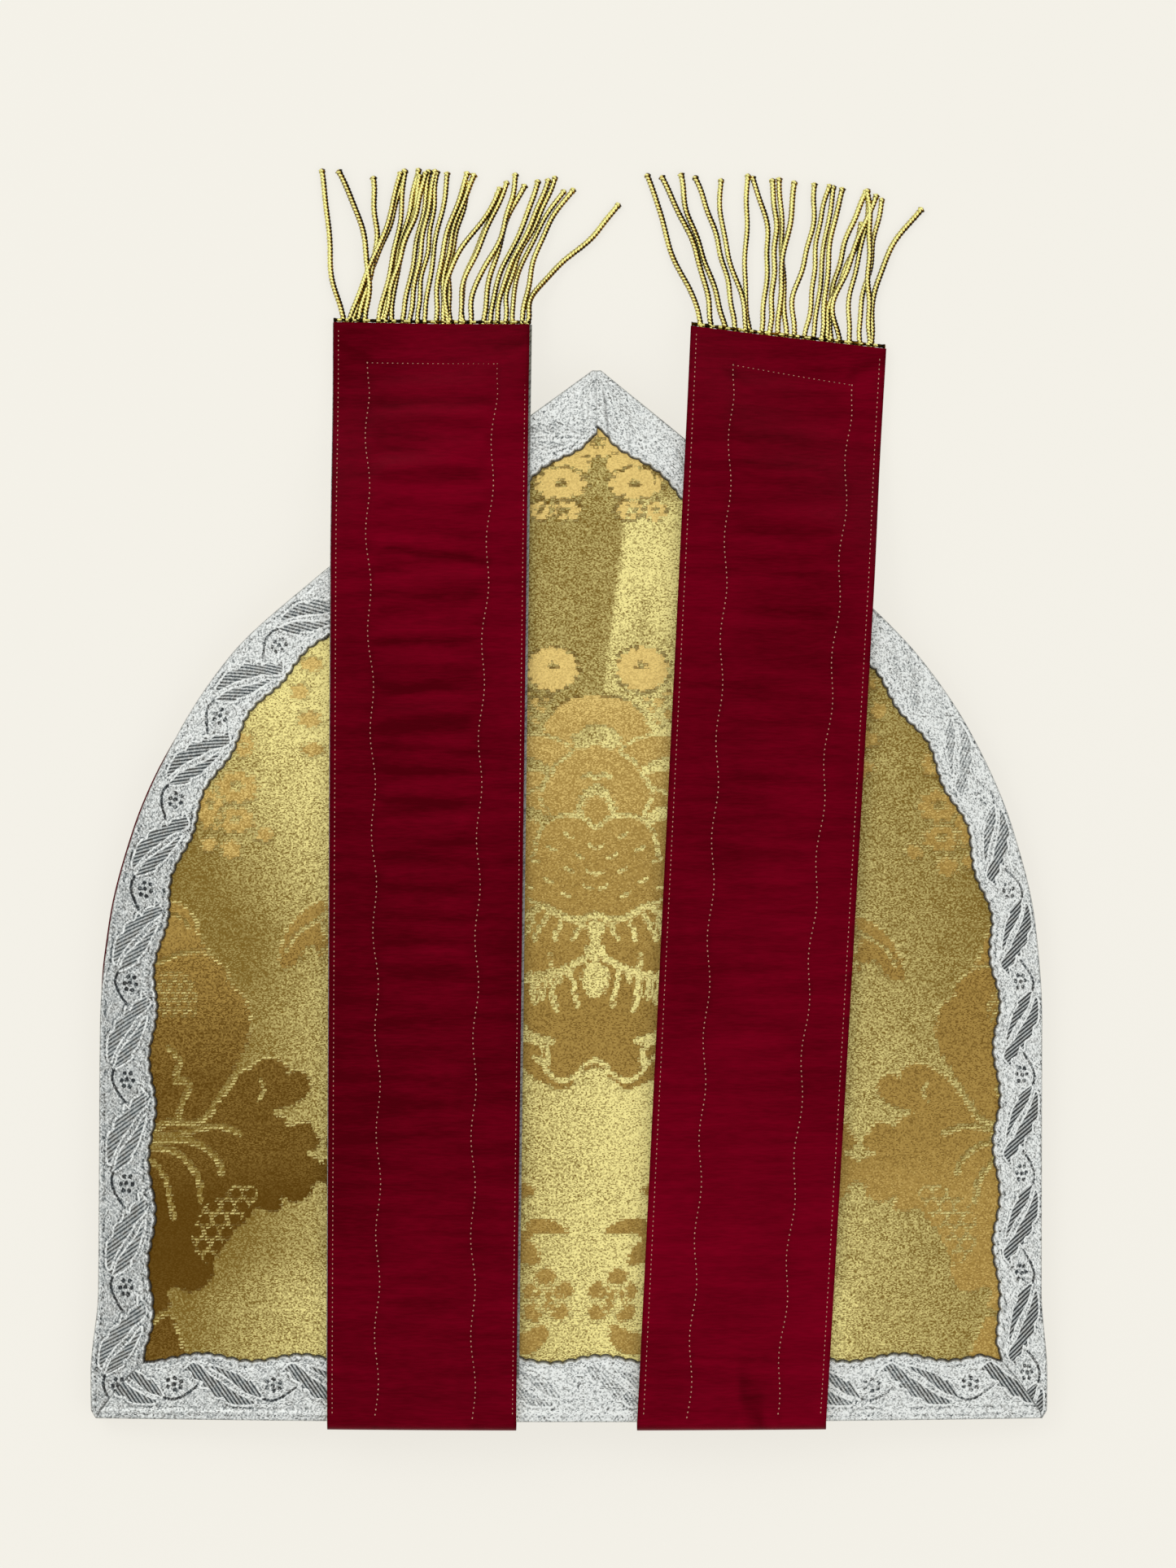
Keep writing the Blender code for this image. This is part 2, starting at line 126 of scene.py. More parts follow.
def blend(start, end, share):
    """From start to end by a share of 0 to 1."""
    return start + (end - start) * share


def bump(away, size=1.0):
    """A bell curve: 1 in the middle, fading over a size."""
    return np.exp(-(away / size) ** 2)


def across_of(count):
    """Even steps from 0 to 1 along a row."""
    return np.linspace(0, 1, count)[None, :]


def down_of(count):
    """Even steps from 0 to 1 down the rows."""
    return np.linspace(0, 1, count)[:, None]


def curve_through(knots, values, at):
    """Cubic through the knots that never overshoots them: each inner slope is the harmonic mean."""
    steps = np.diff(knots)
    slopes = np.diff(values) / steps
    product = slopes[1:] * slopes[:-1]
    inner = np.where(product > 0, 2 * product / np.where(product > 0, slopes[1:] + slopes[:-1], 1), 0)
    tangents = np.concatenate([slopes[:1], inner, slopes[-1:]])
    k = np.clip(np.searchsorted(knots, at, side="right") - 1, 0, len(steps) - 1)
    t = (at - knots[k]) / steps[k]
    start = (1 + 2 * t) * (1 - t) ** 2 * values[k] + t * (1 - t) ** 2 * steps[k] * tangents[k]
    end = t * t * (3 - 2 * t) * values[k + 1] - t * t * (1 - t) * steps[k] * tangents[k + 1]
    return start + end


def half_width(height):
    """Half width of the horns at a height above the brim's edge."""
    return curve_through(OUTLINE_HEIGHTS, OUTLINE_HALVES, height)


def lean(height):
    """X of the horns' middle at a height above the brim's edge."""
    return curve_through(OUTLINE_HEIGHTS, OUTLINE_LEANS, height)


def crown(x, y):
    """Lift of the back above its side seams: a parabola across, deepest at the brim."""
    depth = blend(CROWN_AT_BRIM, CROWN_AT_PEAK, smooth((y - BRIM_Y) / PEAK_HEIGHT))
    return depth * np.clip(1 - (x / CROWN_HALF_WIDTH) ** 2, 0, 1)


def outline_top_y(x):
    """Y of the outline's upper edge above a point x."""
    heights = np.linspace(SHOULDER_HEIGHT, PEAK_HEIGHT, 60)
    middle, half = lean(heights), half_width(heights)
    xs = np.concatenate([middle - half, (middle + half)[::-1]])
    return np.interp(x, xs, np.concatenate([heights, heights[::-1]]) + BRIM_Y)


# === Meshes from arrays ===


def grid_of(x, y, z):
    """A grid of points from three arrays."""
    return np.stack(np.broadcast_arrays(x, y, z), axis=-1)


def tubes(rings, marks=None):
    """Closed profiles carried along paths, with end caps: an array of (tube, ring, point around, xyz)."""
    count, rows, around = rings.shape[:3]
    base = np.arange(count)[:, None, None] * rows * around
    i = np.arange(rows - 1)[None, :, None] * around
    j = np.arange(around)[None, None, :]
    k = (j + 1) % around
    quads = np.stack(np.broadcast_arrays(base + i + j, base + i + k, base + i + around + k,
                                         base + i + around + j), axis=-1).reshape(-1, 4)
    first = base[:, 0] + np.arange(around)[::-1]
    last = base[:, 0] + (rows - 1) * around + np.arange(around)
    marks = {name: value.reshape(count * rows * around, -1) for name, value in (marks or {}).items()}
    return {"points": rings.reshape(-1, 3), "faces": [quads, first, last], "marks": marks}


def sheet_part(top, bottom, marks=None):
    """A closed sheet: rings of a fine shown surface and a coarse hidden one, carried along the rows.

    The end caps join each step of the coarse side to the fine points that lie over it.
    """
    rows, fine = top.shape[:2]
    coarse = bottom.shape[1]
    around = fine + coarse
    part = tubes(np.concatenate([top, bottom[:, ::-1]], axis=1)[None])
    step = (fine - 1) // (coarse - 1)
    k = np.arange(coarse - 1)[:, None]
    upper = k * step + np.arange(step + 1)[None, :]
    lower = np.concatenate([around - 2 - k, around - 1 - k], axis=1)
    cap = np.concatenate([upper, lower], axis=1)
    part["faces"] = [part["faces"][0], cap[:, ::-1], cap + (rows - 1) * around]
    padded = {}
    for name, value in (marks or {}).items():
        value = value.reshape(rows, fine, -1)
        hidden = np.repeat(value[:, :1], coarse, axis=1)
        padded[name] = np.concatenate([value, hidden], axis=1).reshape(rows * around, -1)
    part["marks"] = padded
    return part


def run_along(points):
    """Distance along a line of points."""
    return np.concatenate([[0], np.cumsum(np.linalg.norm(np.diff(points, axis=0), axis=1))])


def signed_volume(points, faces):
    """Volume inside the faces, below zero where they face inwards: sum of the fans' tetrahedra."""
    total = 0.0
    for group in faces:
        corners = points[group]
        first = corners[:, :1]
        cross = np.cross(corners[:, 1:-1], corners[:, 2:])
        total += np.einsum("fij,fij->", np.broadcast_to(first, cross.shape), cross)
    return total / 6


def add_piece(name, parts, slot, nodes, crease=50, finish=None):
    """Join closed parts into one mesh, face them outwards and ride it on the body in place of its nodes."""
    points, faces, marks, start = [], [], {}, 0
    for part in parts:
        middle = part["points"].mean(axis=0)
        inward = signed_volume(part["points"] - middle, part["faces"]) < 0
        for group in part["faces"]:
            faces += ((group[:, ::-1] if inward else group) + start).tolist()
        points.append(part["points"])
        for key, value in part["marks"].items():
            marks.setdefault(key, []).append(value)
        start += len(part["points"])
    mesh = bpy.data.meshes.new(name)
    mesh.from_pydata(np.concatenate(points), [], faces)
    for key, values in marks.items():
        values = np.concatenate(values).astype(np.float32)
        kind, field = ("FLOAT", "value") if values.shape[1] == 1 else ("FLOAT_VECTOR", "vector")
        mesh.attributes.new(key, kind, "POINT").data.foreach_set(field, values.ravel())
    mesh.materials.append(shared(finish or slot))
    mesh.shade_smooth()
    if crease:
        mesh.set_sharp_from_angle(angle=math.radians(crease))
    mesh.update()
    mesh.validate()
    piece = bpy.data.objects.new(name, mesh)
    bpy.context.scene.collection.objects.link(piece)
    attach(piece, BODY)
    if nodes:
        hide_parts(*nodes)
    return piece


# === Distances to charted shapes ===

FAR = 9.0
CHUNK = 4000


def rounded(points, closed, steps=4):
    """A Catmull-Rom curve through given points, with a few steps between each two."""
    points = np.asarray(points, float)
    if closed:
        before, after, ahead = (np.roll(points, s, axis=0) for s in (1, -1, -2))
        here = points
    else:
        ends = np.concatenate([[2 * points[0] - points[1]], points, [2 * points[-1] - points[-2]]])
        before, here, after, ahead = ends[:-3], ends[1:-2], ends[2:-1], ends[3:]
    t = (np.arange(steps) / steps)[None, :, None]
    b, h, a, n = (v[:, None, :] for v in (before, here, after, ahead))
    curve = h + 0.5 * t * (a - b + t * (2 * b - 5 * h + 4 * a - n + t * (3 * (h - a) + n - b)))
    curve = curve.reshape(-1, 2)
    return curve if closed else np.concatenate([curve, points[-1:]])


def outline_field(points, closed, p, q, half=0.0):
    """Offset from a line, which way it grows, the bare distance, and half the width the line is drawn with.

    The nearest point of every segment is found by projection. The offset is below zero inside a
    closed outline, where a ray crosses it an odd number of times, and on one side of an open line.
    """
    starts = points if closed else points[:-1]
    ends = np.roll(points, -1, axis=0) if closed else points[1:]
    low, high = points.min(axis=0) - FAR, points.max(axis=0) + FAR
    near = np.flatnonzero((p > low[0]) & (p < high[0]) & (q > low[1]) & (q < high[1]))
    field = np.zeros((p.size, 5))
    field[:, [0, 3]] = FAR
    field[:, 4] = half
    run = ends - starts
    square = np.maximum((run ** 2).sum(axis=1), 1e-9)
    for chunk in np.array_split(near, max(1, near.size // CHUNK)):
        if chunk.size == 0:
            continue
        x, y = p[chunk, None], q[chunk, None]
        t = np.clip(((x - starts[:, 0]) * run[:, 0] + (y - starts[:, 1]) * run[:, 1]) / square, 0, 1)
        vx = x - starts[:, 0] - t * run[:, 0]
        vy = y - starts[:, 1] - t * run[:, 1]
        k = np.argmin(vx ** 2 + vy ** 2, axis=1)
        rows = np.arange(chunk.size)
        vx, vy = vx[rows, k], vy[rows, k]
        distance = np.maximum(np.hypot(vx, vy), 1e-6)
        if closed:
            above = (starts[:, 1] > y) != (ends[:, 1] > y)
            slope = run[:, 0] / np.where(run[:, 1] == 0, 1e-9, run[:, 1])
            crossed = above & (x < starts[:, 0] + slope * (y - starts[:, 1]))
            sign = np.where(crossed.sum(axis=1) % 2 == 1, -1.0, 1.0)
        else:
            sign = np.where(run[k, 0] * vy - run[k, 1] * vx < 0, -1.0, 1.0)
        kept = np.minimum(distance, FAR)
        field[chunk, :4] = np.stack([sign * kept, sign * vx / distance, sign * vy / distance, kept], axis=1)
    return field


def no_line(size):
    """A field with nothing in it, far off everywhere."""
    return np.tile([FAR, 0.0, 0.0, FAR, 0.0], (size, 1))


def nearest(first, second):
    """Union of two fields: at each place the one with the smaller offset."""
    return np.where(first[:, :1] <= second[:, :1], first, second)


def closest(first, second):
    """Of two drawn lines, at each place the one whose edge is closer."""
    ahead = first[:, 3:4] - first[:, 4:] <= second[:, 3:4] - second[:, 4:]
    return np.where(ahead, first, second)


def without(whole, hole):
    """A field with another cut out of it."""
    turned = hole * [-1, -1, -1, 1, 1]
    return np.where(whole[:, :1] >= turned[:, :1], whole, turned)


def blossom(p, q, half_wide, half_high, lobes, depth):
    """Outline of a flower: an ellipse whose radius swells by a raised sine once for each petal."""
    angle = np.linspace(0, 2 * np.pi, max(24, 8 * lobes), endpoint=False)
    radius = 1 - depth + depth * np.abs(np.sin(lobes * angle / 2)) ** 0.7
    return np.stack([p + half_wide * radius * np.cos(angle), q + half_high * radius * np.sin(angle)], axis=1)


def drawn(points, closed, p, q, half=0.0, steps=4):
    """Field of a charted outline or line, rounded through its points."""
    return outline_field(rounded(points, closed, steps), closed, p, q, half=half)


# === Chart of the damask, in millimetres: out from its mirror line, and up from the origin ===

# The line that the pattern mirrors about: its X by height.
MIRROR_LINE = ((-20, 1.9), (0, 2), (28, 2.8), (51, 5.1), (95, 7.5), (283, 8.7), (330, 8.9))
REPEAT_EDGE = 84.0
UNDER_GALLOON = 143.0

SIDE_OUTLINES = {
    "lobed_leaf": (
        (114.2, 93.7), (111.1, 98.2), (107.9, 100.4), (104.3, 102.9), (101, 103.4), (98.1, 102.5),
        (96, 100.5), (95.9, 98.4), (94.5, 99.5), (92.4, 99.8), (90.2, 98.4), (88.9, 96.4), (89, 93.5),
        (90.7, 91), (94.5, 88.5), (99.5, 87.2), (99.4, 85.6), (96.5, 84.9), (94.8, 81.8), (92.7, 82.9),
        (88.8, 83.4), (87.2, 80.5), (84.9, 78), (86.2, 75), (89.2, 73.6), (84.6, 71.5), (83, 67.4),
        (83.6, 65.3), (86.3, 63.9), (87, 61), (88.8, 59.1), (92.9, 58.4), (96.4, 60.1), (95.8, 56.4),
        (99.6, 55.3), (103.8, 56.4), (106.3, 52.9), (110.2, 49.5), (112.5, 45.3), (114, 42.6), (116, 38.5),
        (115.4, 35.7), (118.1, 31.6), (122, 29.8), (127.7, 31.6), (129.1, 28.8), (128.3, 25.4),
        (131.3, 23.7), (134.8, 22.6), (UNDER_GALLOON, 22), (UNDER_GALLOON, 79.5), (137.4, 79.7),
        (132.8, 82.4), (125.8, 81.8), (120.3, 84.5), (117.8, 88.8), (116, 91.6),
    ),
    "upper_leaf": (
        (113.6, 98.3), (116.2, 94.4), (118.8, 90.1), (121.2, 86.2), (125.8, 83.7), (132.8, 84.3),
        (137.6, 81.4), (UNDER_GALLOON, 81.2), (UNDER_GALLOON, 130.5), (137.1, 132.6), (130.4, 135.3),
        (125.6, 136.2), (121.3, 135.6), (118, 133.2), (115.2, 130.2), (114.6, 126.9), (110.9, 123.8),
        (109.1, 120.8), (108.5, 117.8), (107.8, 114.7), (109, 107.5), (112, 102),
    ),
    "diagonal_leaf": (
        (132.9, 152.3), (130.5, 151.7), (127.5, 149.3), (125.6, 146.2), (124.4, 142.6), (123.8, 140.2),
        (121.8, 136.9), (126, 137.5), (130, 136.7), (137, 134.1), (UNDER_GALLOON, 132),
        (UNDER_GALLOON, 152), (137, 152.4),
    ),
    "lower_leaf": (
        (134.6, 18.5), (131.9, 20.9), (129.2, 22.6), (127.1, 20.9), (126, 17.8), (124.9, 15), (123.4, 11.6),
        (122.7, 8.8), (124, 2), (UNDER_GALLOON, 2), (UNDER_GALLOON, 18.5),
    ),
    "curling_leaf": (
        (85.1, 152.9), (90.5, 150.5), (94.7, 146.2), (97.1, 142.6), (98.9, 136.5), (98.6, 131.7),
        (94, 132.9), (91.6, 136.5), (89.2, 139), (86.8, 136.5), (84.9, 134.7), (84.2, 140), (86, 145),
        (84.3, 149),
    ),
}
# Flowers: their middle, half width and half height, number of petals, and how deep the petals are cut.
SIDE_BLOSSOMS = (
    (112.6, 188.2, 7.4, 5.8, 9, 0.26), (110.8, 201.5, 4, 4.2, 7, 0.28), (118.6, 198.6, 3.4, 3.6, 6, 0.25),
    (113.1, 177.8, 6.8, 4.6, 8, 0.26), (121, 181.5, 4.6, 7.5, 8, 0.25), (104, 173.5, 3, 2.8, 5, 0.25),
    (114.3, 168.7, 3.8, 3.6, 6, 0.28), (121.5, 170.2, 3, 2.6, 5, 0.25), (89.4, 226.8, 4.4, 3, 6, 0.3),
    (90, 209.4, 4.5, 3.2, 6, 0.3), (88.8, 200.3, 4.4, 2.8, 6, 0.3), (93.2, 218.2, 3.2, 3, 5, 0.25),
)
SIDE_EYES = (
    (112.8, 188.6, 2.4, 1.7, 5, 0.3), (112.9, 178.2, 1.9, 1.3, 4, 0.3), (110.8, 201.8, 1.1, 1, 4, 0.2),
    (121.2, 183, 1.2, 1.6, 4, 0.2),
)
# Lines: half their width, and their points.
SIDE_LINES = (
    (0.9, ((140, 79.6), (132.6, 79.2), (127.2, 80.2), (120.4, 81.8), (114.9, 81.6), (110.6, 79.8))),
    (0.9, ((140, 78.2), (133.5, 77.6), (128.4, 77.6), (122.8, 76.2), (118.5, 73.4), (116.2, 70.5),
            (115.4, 67.4))),
    (0.9, ((140, 75.4), (133, 74.6), (128.1, 72.4), (124.6, 68.7), (122.1, 64.4), (121.6, 58.6))),
    (0.8, ((140, 72.4), (135.9, 69.4), (132.8, 65), (131, 58.6), (129.8, 53.2))),
    (0.8, ((131.3, 95.6), (128.4, 96.6), (127, 94.6), (128.2, 91.2), (129.6, 87.6), (130, 84.2))),
    (0.8, ((133.6, 106.4), (131.4, 104.4), (130.2, 101.6), (131.4, 98.2), (129.4, 95.6))),
    (0.6, ((113.2, 98), (115.6, 93.6), (118.4, 89.3), (120.8, 85.2), (125.8, 82.8), (132.8, 83.5),
            (140, 80.6))),
    (0.6, ((83.5, 149.6), (86.1, 147.4), (89.8, 145), (94.1, 141.9), (96.6, 137))),
    (0.6, ((81.9, 140.1), (86.2, 136.6), (90, 134.6), (95.9, 130.4))),
    (0.5, ((104.5, 96.5), (103.4, 93.4), (105, 90.2))),
    (0.5, ((138, 148.5), (131, 148), (127.5, 144.2))),
)
GRAPES = {
    "ripe": {
        "outline": ((107, 64.6), (102.6, 61.2), (105.2, 57), (112, 47), (117.4, 38.5), (123.5, 45),
                    (122.2, 53.6), (117.7, 59.1), (112, 63.4)),
        "pitch": 4.7,
        "half_width": 0.24,
    },
    "small": {
        "outline": ((124.6, 117), (130, 115.5), (137, 116.5), (138, 129.5), (131, 131), (125.5, 128)),
        "pitch": 3.3,
        "half_width": 0.22,
    },
}

CENTRE_OUTLINES = {
    "top_clump": (
        (-3, 300.5), (0, 301.5), (3, 299.8), (6, 297.4), (9, 295.3), (12, 293.2), (8, 292.4), (4.5, 292.9),
        (1.8, 291.8), (0, 292.4), (-3, 292),
    ),
    "drooping_leaf": (
        (2.7, 291.2), (5.4, 292.3), (9.6, 292.6), (13.2, 290.9), (14.2, 289.2), (10.2, 288.6), (6.6, 287.2),
        (3.8, 286.9),
    ),
    "medallion": (
        (-4, 216.9), (0, 216.9), (4, 216.7), (8.2, 215.8), (12.7, 213), (15.9, 208.4), (17.2, 205.5),
        (21.9, 204.9), (27, 203), (31, 197), (32.5, 189), (31.5, 181), (33, 172), (35, 161), (34, 150),
        (35, 140), (36, 129), (34.5, 118), (31, 109), (26, 103), (21.5, 99.9), (18.5, 97), (14.9, 95.6),
        (11.3, 93.8), (8.4, 94.1), (5.6, 97), (3.4, 99.2), (1.3, 100.6), (0, 100.8), (-4, 100.8),
    ),
    "low_leaf": (
        (22, 49.6), (18.9, 50.2), (18.4, 53), (14.8, 53.8), (10.5, 53), (6.7, 50.9), (5.2, 49.4),
        (8.7, 48.6), (14.5, 49), (17, 47.4), (22, 44),
    ),
    "low_stalk": ((22, 47.6), (18.6, 46.6), (16, 45.8), (13.9, 42.9), (14.2, 39.3), (17.9, 39.3), (22, 41)),
    "low_bud": ((23, 65.5), (19.8, 64.6), (16.8, 63.1), (17.4, 61), (19.5, 60.3), (23, 59.5)),
    "root_petal": (
        (10.4, 20.6), (13.2, 19.8), (16, 18.4), (20, 17), (20, 11), (14.2, 11.5), (11.3, 14.1), (9.6, 17),
    ),
}
CENTRE_BLOSSOMS = (
    (11.8, 283.6, 9.2, 5.5, 9, 0.18), (10.1, 275.2, 5.1, 3.5, 7, 0.24), (18, 275, 4, 3.5, 6, 0.24),
    (14.2, 225.3, 8.9, 7.5, 14, 0.12), (19.6, 215, 2.2, 1.8, 5, 0.2), (17.3, 212.6, 1.6, 1.5, 4, 0.2),
    (15.6, 215.8, 1.4, 1.3, 4, 0.2), (22.4, 211, 2, 2.2, 4, 0.2), (19.2, 208.8, 1.5, 1.4, 4, 0.2),
    (22, 217.8, 1.6, 1.2, 4, 0.2), (11.3, 35, 3.7, 3.6, 5, 0.16), (5.6, 31, 3.6, 3.4, 5, 0.16),
    (6.2, 24.6, 3.6, 3.4, 5, 0.16), (14.9, 30.7, 3.6, 3.4, 5, 0.16), (14.4, 24.4, 3.6, 3.4, 5, 0.16),
    (10.2, 28.6, 4.6, 4.6, 5, 0.1),
)
CENTRE_HOLES = {
    "clump_eye": blossom(0, 296.6, 1.9, 1.7, 5, 0.2),
    "flower_ring": blossom(11.6, 283.6, 2.1, 1, 5, 0.2),
    "left_bud_eye": blossom(10.9, 274.9, 2.2, 1.3, 4, 0.3),
    "outer_bud_eye": blossom(18.2, 275.4, 1.3, 1.1, 4, 0.3),
    "round_eye": blossom(13.9, 226.4, 1.7, 1, 5, 0.4),
    "star": blossom(12, 27.8, 1.6, 1.8, 5, 0.5),
    "crescent": (
        (7.8, 202.8), (6.9, 204.9), (3.5, 207.3), (0, 208.3), (-4, 207.3), (-4, 200.6), (0, 202),
        (3, 200.6), (5.6, 200.4),
    ),
    "side_crescent": ((23, 197.6), (18.6, 196.9), (15.3, 194.9), (15.9, 192.6), (18.6, 193.3), (23, 193.6)),
    "low_crescent": ((23, 182.3), (18.6, 181.6), (15.2, 178.4), (16.4, 176.2), (19.4, 178), (23, 178.6)),
    "arch": (
        (6.3, 179.6), (5.9, 183), (4.6, 186), (2.4, 188.4), (0, 189.3), (-3, 188), (-3, 184.6), (0, 186),
        (3, 184.4), (4.2, 181.9), (4.4, 179.6),
    ),
    "column_top": blossom(0, 144.4, 2.9, 2.6, 6, 0.15),
    "column_neck": ((-1.4, 143), (1.4, 143), (1.5, 139), (-1.5, 139)),
    "column_foot": blossom(0, 137, 3.6, 2.7, 6, 0.15),
    "pendant": (
        (-3, 132.4), (0, 134.2), (3, 132.4), (4.2, 129.2), (3.6, 125.8), (1.6, 123), (-1.6, 123),
        (-3.6, 125.8), (-4.2, 129.2),
    ),
}
CENTRE_LINES = (
    (0.45, ((24, 204.8), (21.9, 204.8), (17.3, 204.8), (11.3, 202.9), (7.4, 199.9))),
    (0.55, ((8.2, 198.6), (10.6, 197.2), (13.1, 195.1), (14.4, 191.9), (17.2, 187.8), (17.1, 184.1),
            (15.7, 181.4), (14.3, 178.2))),
    (0.6, ((4.2, 191.6), (1.8, 192.3), (0, 191.2), (-2, 192.3))),
    (0.12, ((5.6, 284.4), (7.2, 288), (11, 289))),
    (0.12, ((17.6, 283.6), (17.8, 286.4), (15.4, 288.4))),
    (0.6, ((19.4, 167.5), (18.4, 173), (15.6, 177.2), (11.4, 179.4), (6.8, 179.4), (3.2, 178.4),
            (1.5, 176.6), (0, 175.8), (-2, 176.6))),
    (0.5, ((24, 184.8), (20.6, 187.2), (17.6, 188.4), (15.9, 190.4), (14.9, 194))),
    (1, ((25, 147), (22.4, 147.6), (19.2, 149.6), (16, 151.3), (12.3, 149), (7.7, 147.1), (4.1, 147.1),
            (0.4, 148.5), (-2, 148))),
    (0.7, ((18.9, 140.6), (18.2, 143), (16.6, 145.4), (15.2, 148))),
    (0.7, ((12.5, 140.8), (12.3, 143), (11, 145.2))),
    (0.7, ((7, 141), (5.6, 143.5), (4.2, 145.6))),
    (0.7, ((22.6, 141), (21.2, 143.6), (19.6, 146.4))),
    (1, ((25, 127.8), (21, 128.4), (17, 129.2), (12.5, 130.5), (8, 132.3), (3, 134.8))),
    (0.75, ((20.2, 130), (19.9, 126.5), (19, 121))),
    (0.85, ((14.4, 130), (13.8, 126.9), (13.1, 122.8), (12.1, 118.8))),
    (0.75, ((8, 131), (7.1, 128.3), (6.7, 125.6), (5.9, 122.4), (5.6, 120.1))),
    (0.7, ((10.6, 130.6), (10.8, 127.6))),
    (0.8, ((17.2, 130), (17.2, 126.5), (16.5, 122.5))),
    (0.6, ((14.1, 132.2), (14.1, 135.9))),
    (0.9, ((25, 115.4), (22.5, 113.4), (20, 111.4), (16.6, 110), (13.2, 109))),
    (0.9, ((17.6, 109.4), (15.6, 106.6), (14.6, 103.4), (15.4, 101))),
    (0.8, ((24, 109.6), (19.6, 109.2), (15.6, 107.6))),
    (0.75, ((18.6, 103.8), (15.7, 101.4), (14.2, 98.7), (10.8, 96.7), (7.9, 97.2), (5.2, 98.9), (3, 101.6),
            (0, 103), (-2, 102.6))),
)
BERRY_RING = 0.46
BODY_DASH_LENGTH = 2.4
BODY_DASH_HALF_WIDTH = 0.42
PETAL_LINE_HALF_WIDTH = 0.30
BODY_DASHES = (
    (8.5, 173.2), (13.9, 169.1), (5.1, 166.8), (19.2, 165.4), (8.4, 162.4), (1.4, 161.6), (14.8, 159.1),
    (2.4, 157), (9.4, 154.8), (20.6, 157.2), (0.8, 169.6), (19.8, 152.6),
)
SIDE_MOTIF = {"outlines": SIDE_OUTLINES, "lines": SIDE_LINES, "blossoms": SIDE_BLOSSOMS, "eyes": SIDE_EYES,
              "holes": {}, "grapes": GRAPES, "dashes": ()}
CENTRE_MOTIF = {"outlines": CENTRE_OUTLINES, "lines": CENTRE_LINES, "blossoms": CENTRE_BLOSSOMS, "eyes": (),
                "holes": CENTRE_HOLES, "grapes": {}, "dashes": BODY_DASHES}

# Painted sheen of the silk by height, on the left, in the middle and on the right. At 0 the ground is dark
# under a light figure, and at 1 it is light under a dark figure. The slope is the ground's change a
# millimetre.
SHEEN_ZONES = {"left": -94.0, "centre": 5.0, "right": 96.0}
ZONE_EDGES = (-46.0, 50.0)
GROUND_SHEEN = {
    "left": (
        (0, 0.46), (25, 0.38), (48, -0.04), (118, 0.06), (140, -0.04), (160, 0.24), (190, 0.6), (220, 1),
    ),
    "centre": ((0, 0.9), (110, 0.9), (200, 0.58), (240, 0.5)),
    "right": ((0, 0.35), (100, 0.36), (130, 0.22), (150, 0.19), (190, 0.15), (220, 0.08)),
}
SHEEN_SLOPE = {"left": 0.020, "centre": 0.019, "right": -0.008}
FIGURE_SHEEN = {
    "left": (
        (0, 0.84), (40, 0.94), (55, 0.94), (75, 0.86), (95, 0.86), (108, 0.8), (130, 0.7), (145, 0.58),
        (170, 0.36), (195, 0.33), (220, 0.22),
    ),
    "centre": ((0, 0.48), (100, 0.62), (120, 0.62), (155, 0.52), (205, 0.34), (225, 0.15), (290, 0.14)),
    "right": ((0, 0.47), (60, 0.5), (80, 0.6), (125, 0.66), (150, 0.52), (200, 0.44)),
}
# Where the figures' outlines turn from painted glints to painted shade, by height.
PAINTED_OUTLINE_SHADE = {
    "left": ((148, 0), (165, 0.35)),
    "centre": ((208, 0), (218, 1)),
    "right": ((140, 0), (230, 0.6)),
}
# Painted sheen patches on the ground, in order: middle, half width and height, their soft edges, and sheen.
# Their X counts from a line through PATCH_MIDDLE that leans by PATCH_LEAN.
SHEEN_PATCHES = (
    (-18, 245, 31.6, 36, 1.8, 8, 0.11), (-6, 222, 18.5, 14, 2, 8, 0.16), (30, 252, 16.4, 27, 1.5, 7, 1.12),
    (33, 226, 20, 12, 2, 8, 0.72), (22.6, 238, 2, 9, 2.6, 7, 0.42), (4, 292, 30, 14, 6, 5, 0.15),
    (109, 6, 4, 28, 5, 10, 0.85),
)
PATCH_LEAN = 0.116
PATCH_MIDDLE = (1.3, 250)
# The cloth's right side lies askew: by height, how much nearer the mirror line and lower its figures are.
SKEW = ((85, 0, 0), (101, 0.4, 1.5), (131, 2.3, 4.5), (185, 5, 6))
SKEW_FROM = 40.0
SKEW_OVER = 30.0


def mirror_x(y):
    """X of the pattern's mirror line at a height, in millimetres."""
    return np.interp(y, *np.transpose(MIRROR_LINE))


def grape_lines(bunch, p, q):
    """Field of the rings round the berries of a bunch: a hexagonal grid of circles inside an outline."""
    pitch = bunch["pitch"]
    inside = drawn(bunch["outline"], True, p, q)[:, 0] < 0
    row = pitch * math.sqrt(3) / 2
    field = no_line(p.size)
    for shift in (0, 1):
        vx = p - (np.round(p / pitch - shift / 2) + shift / 2) * pitch
        vy = q - (np.round(q / row / 2 - shift / 2) * 2 + shift) * row
        away = np.maximum(np.hypot(vx, vy), 1e-6)
        ring = away - BERRY_RING * pitch
        half = np.full(p.size, bunch["half_width"])
        values = np.stack([ring, vx / away, vy / away, np.abs(ring), half], axis=1)
        field = np.where(away[:, None] < 0.6 * pitch, closest(field, values), field)
    field[~inside, 3] = FAR
    return field


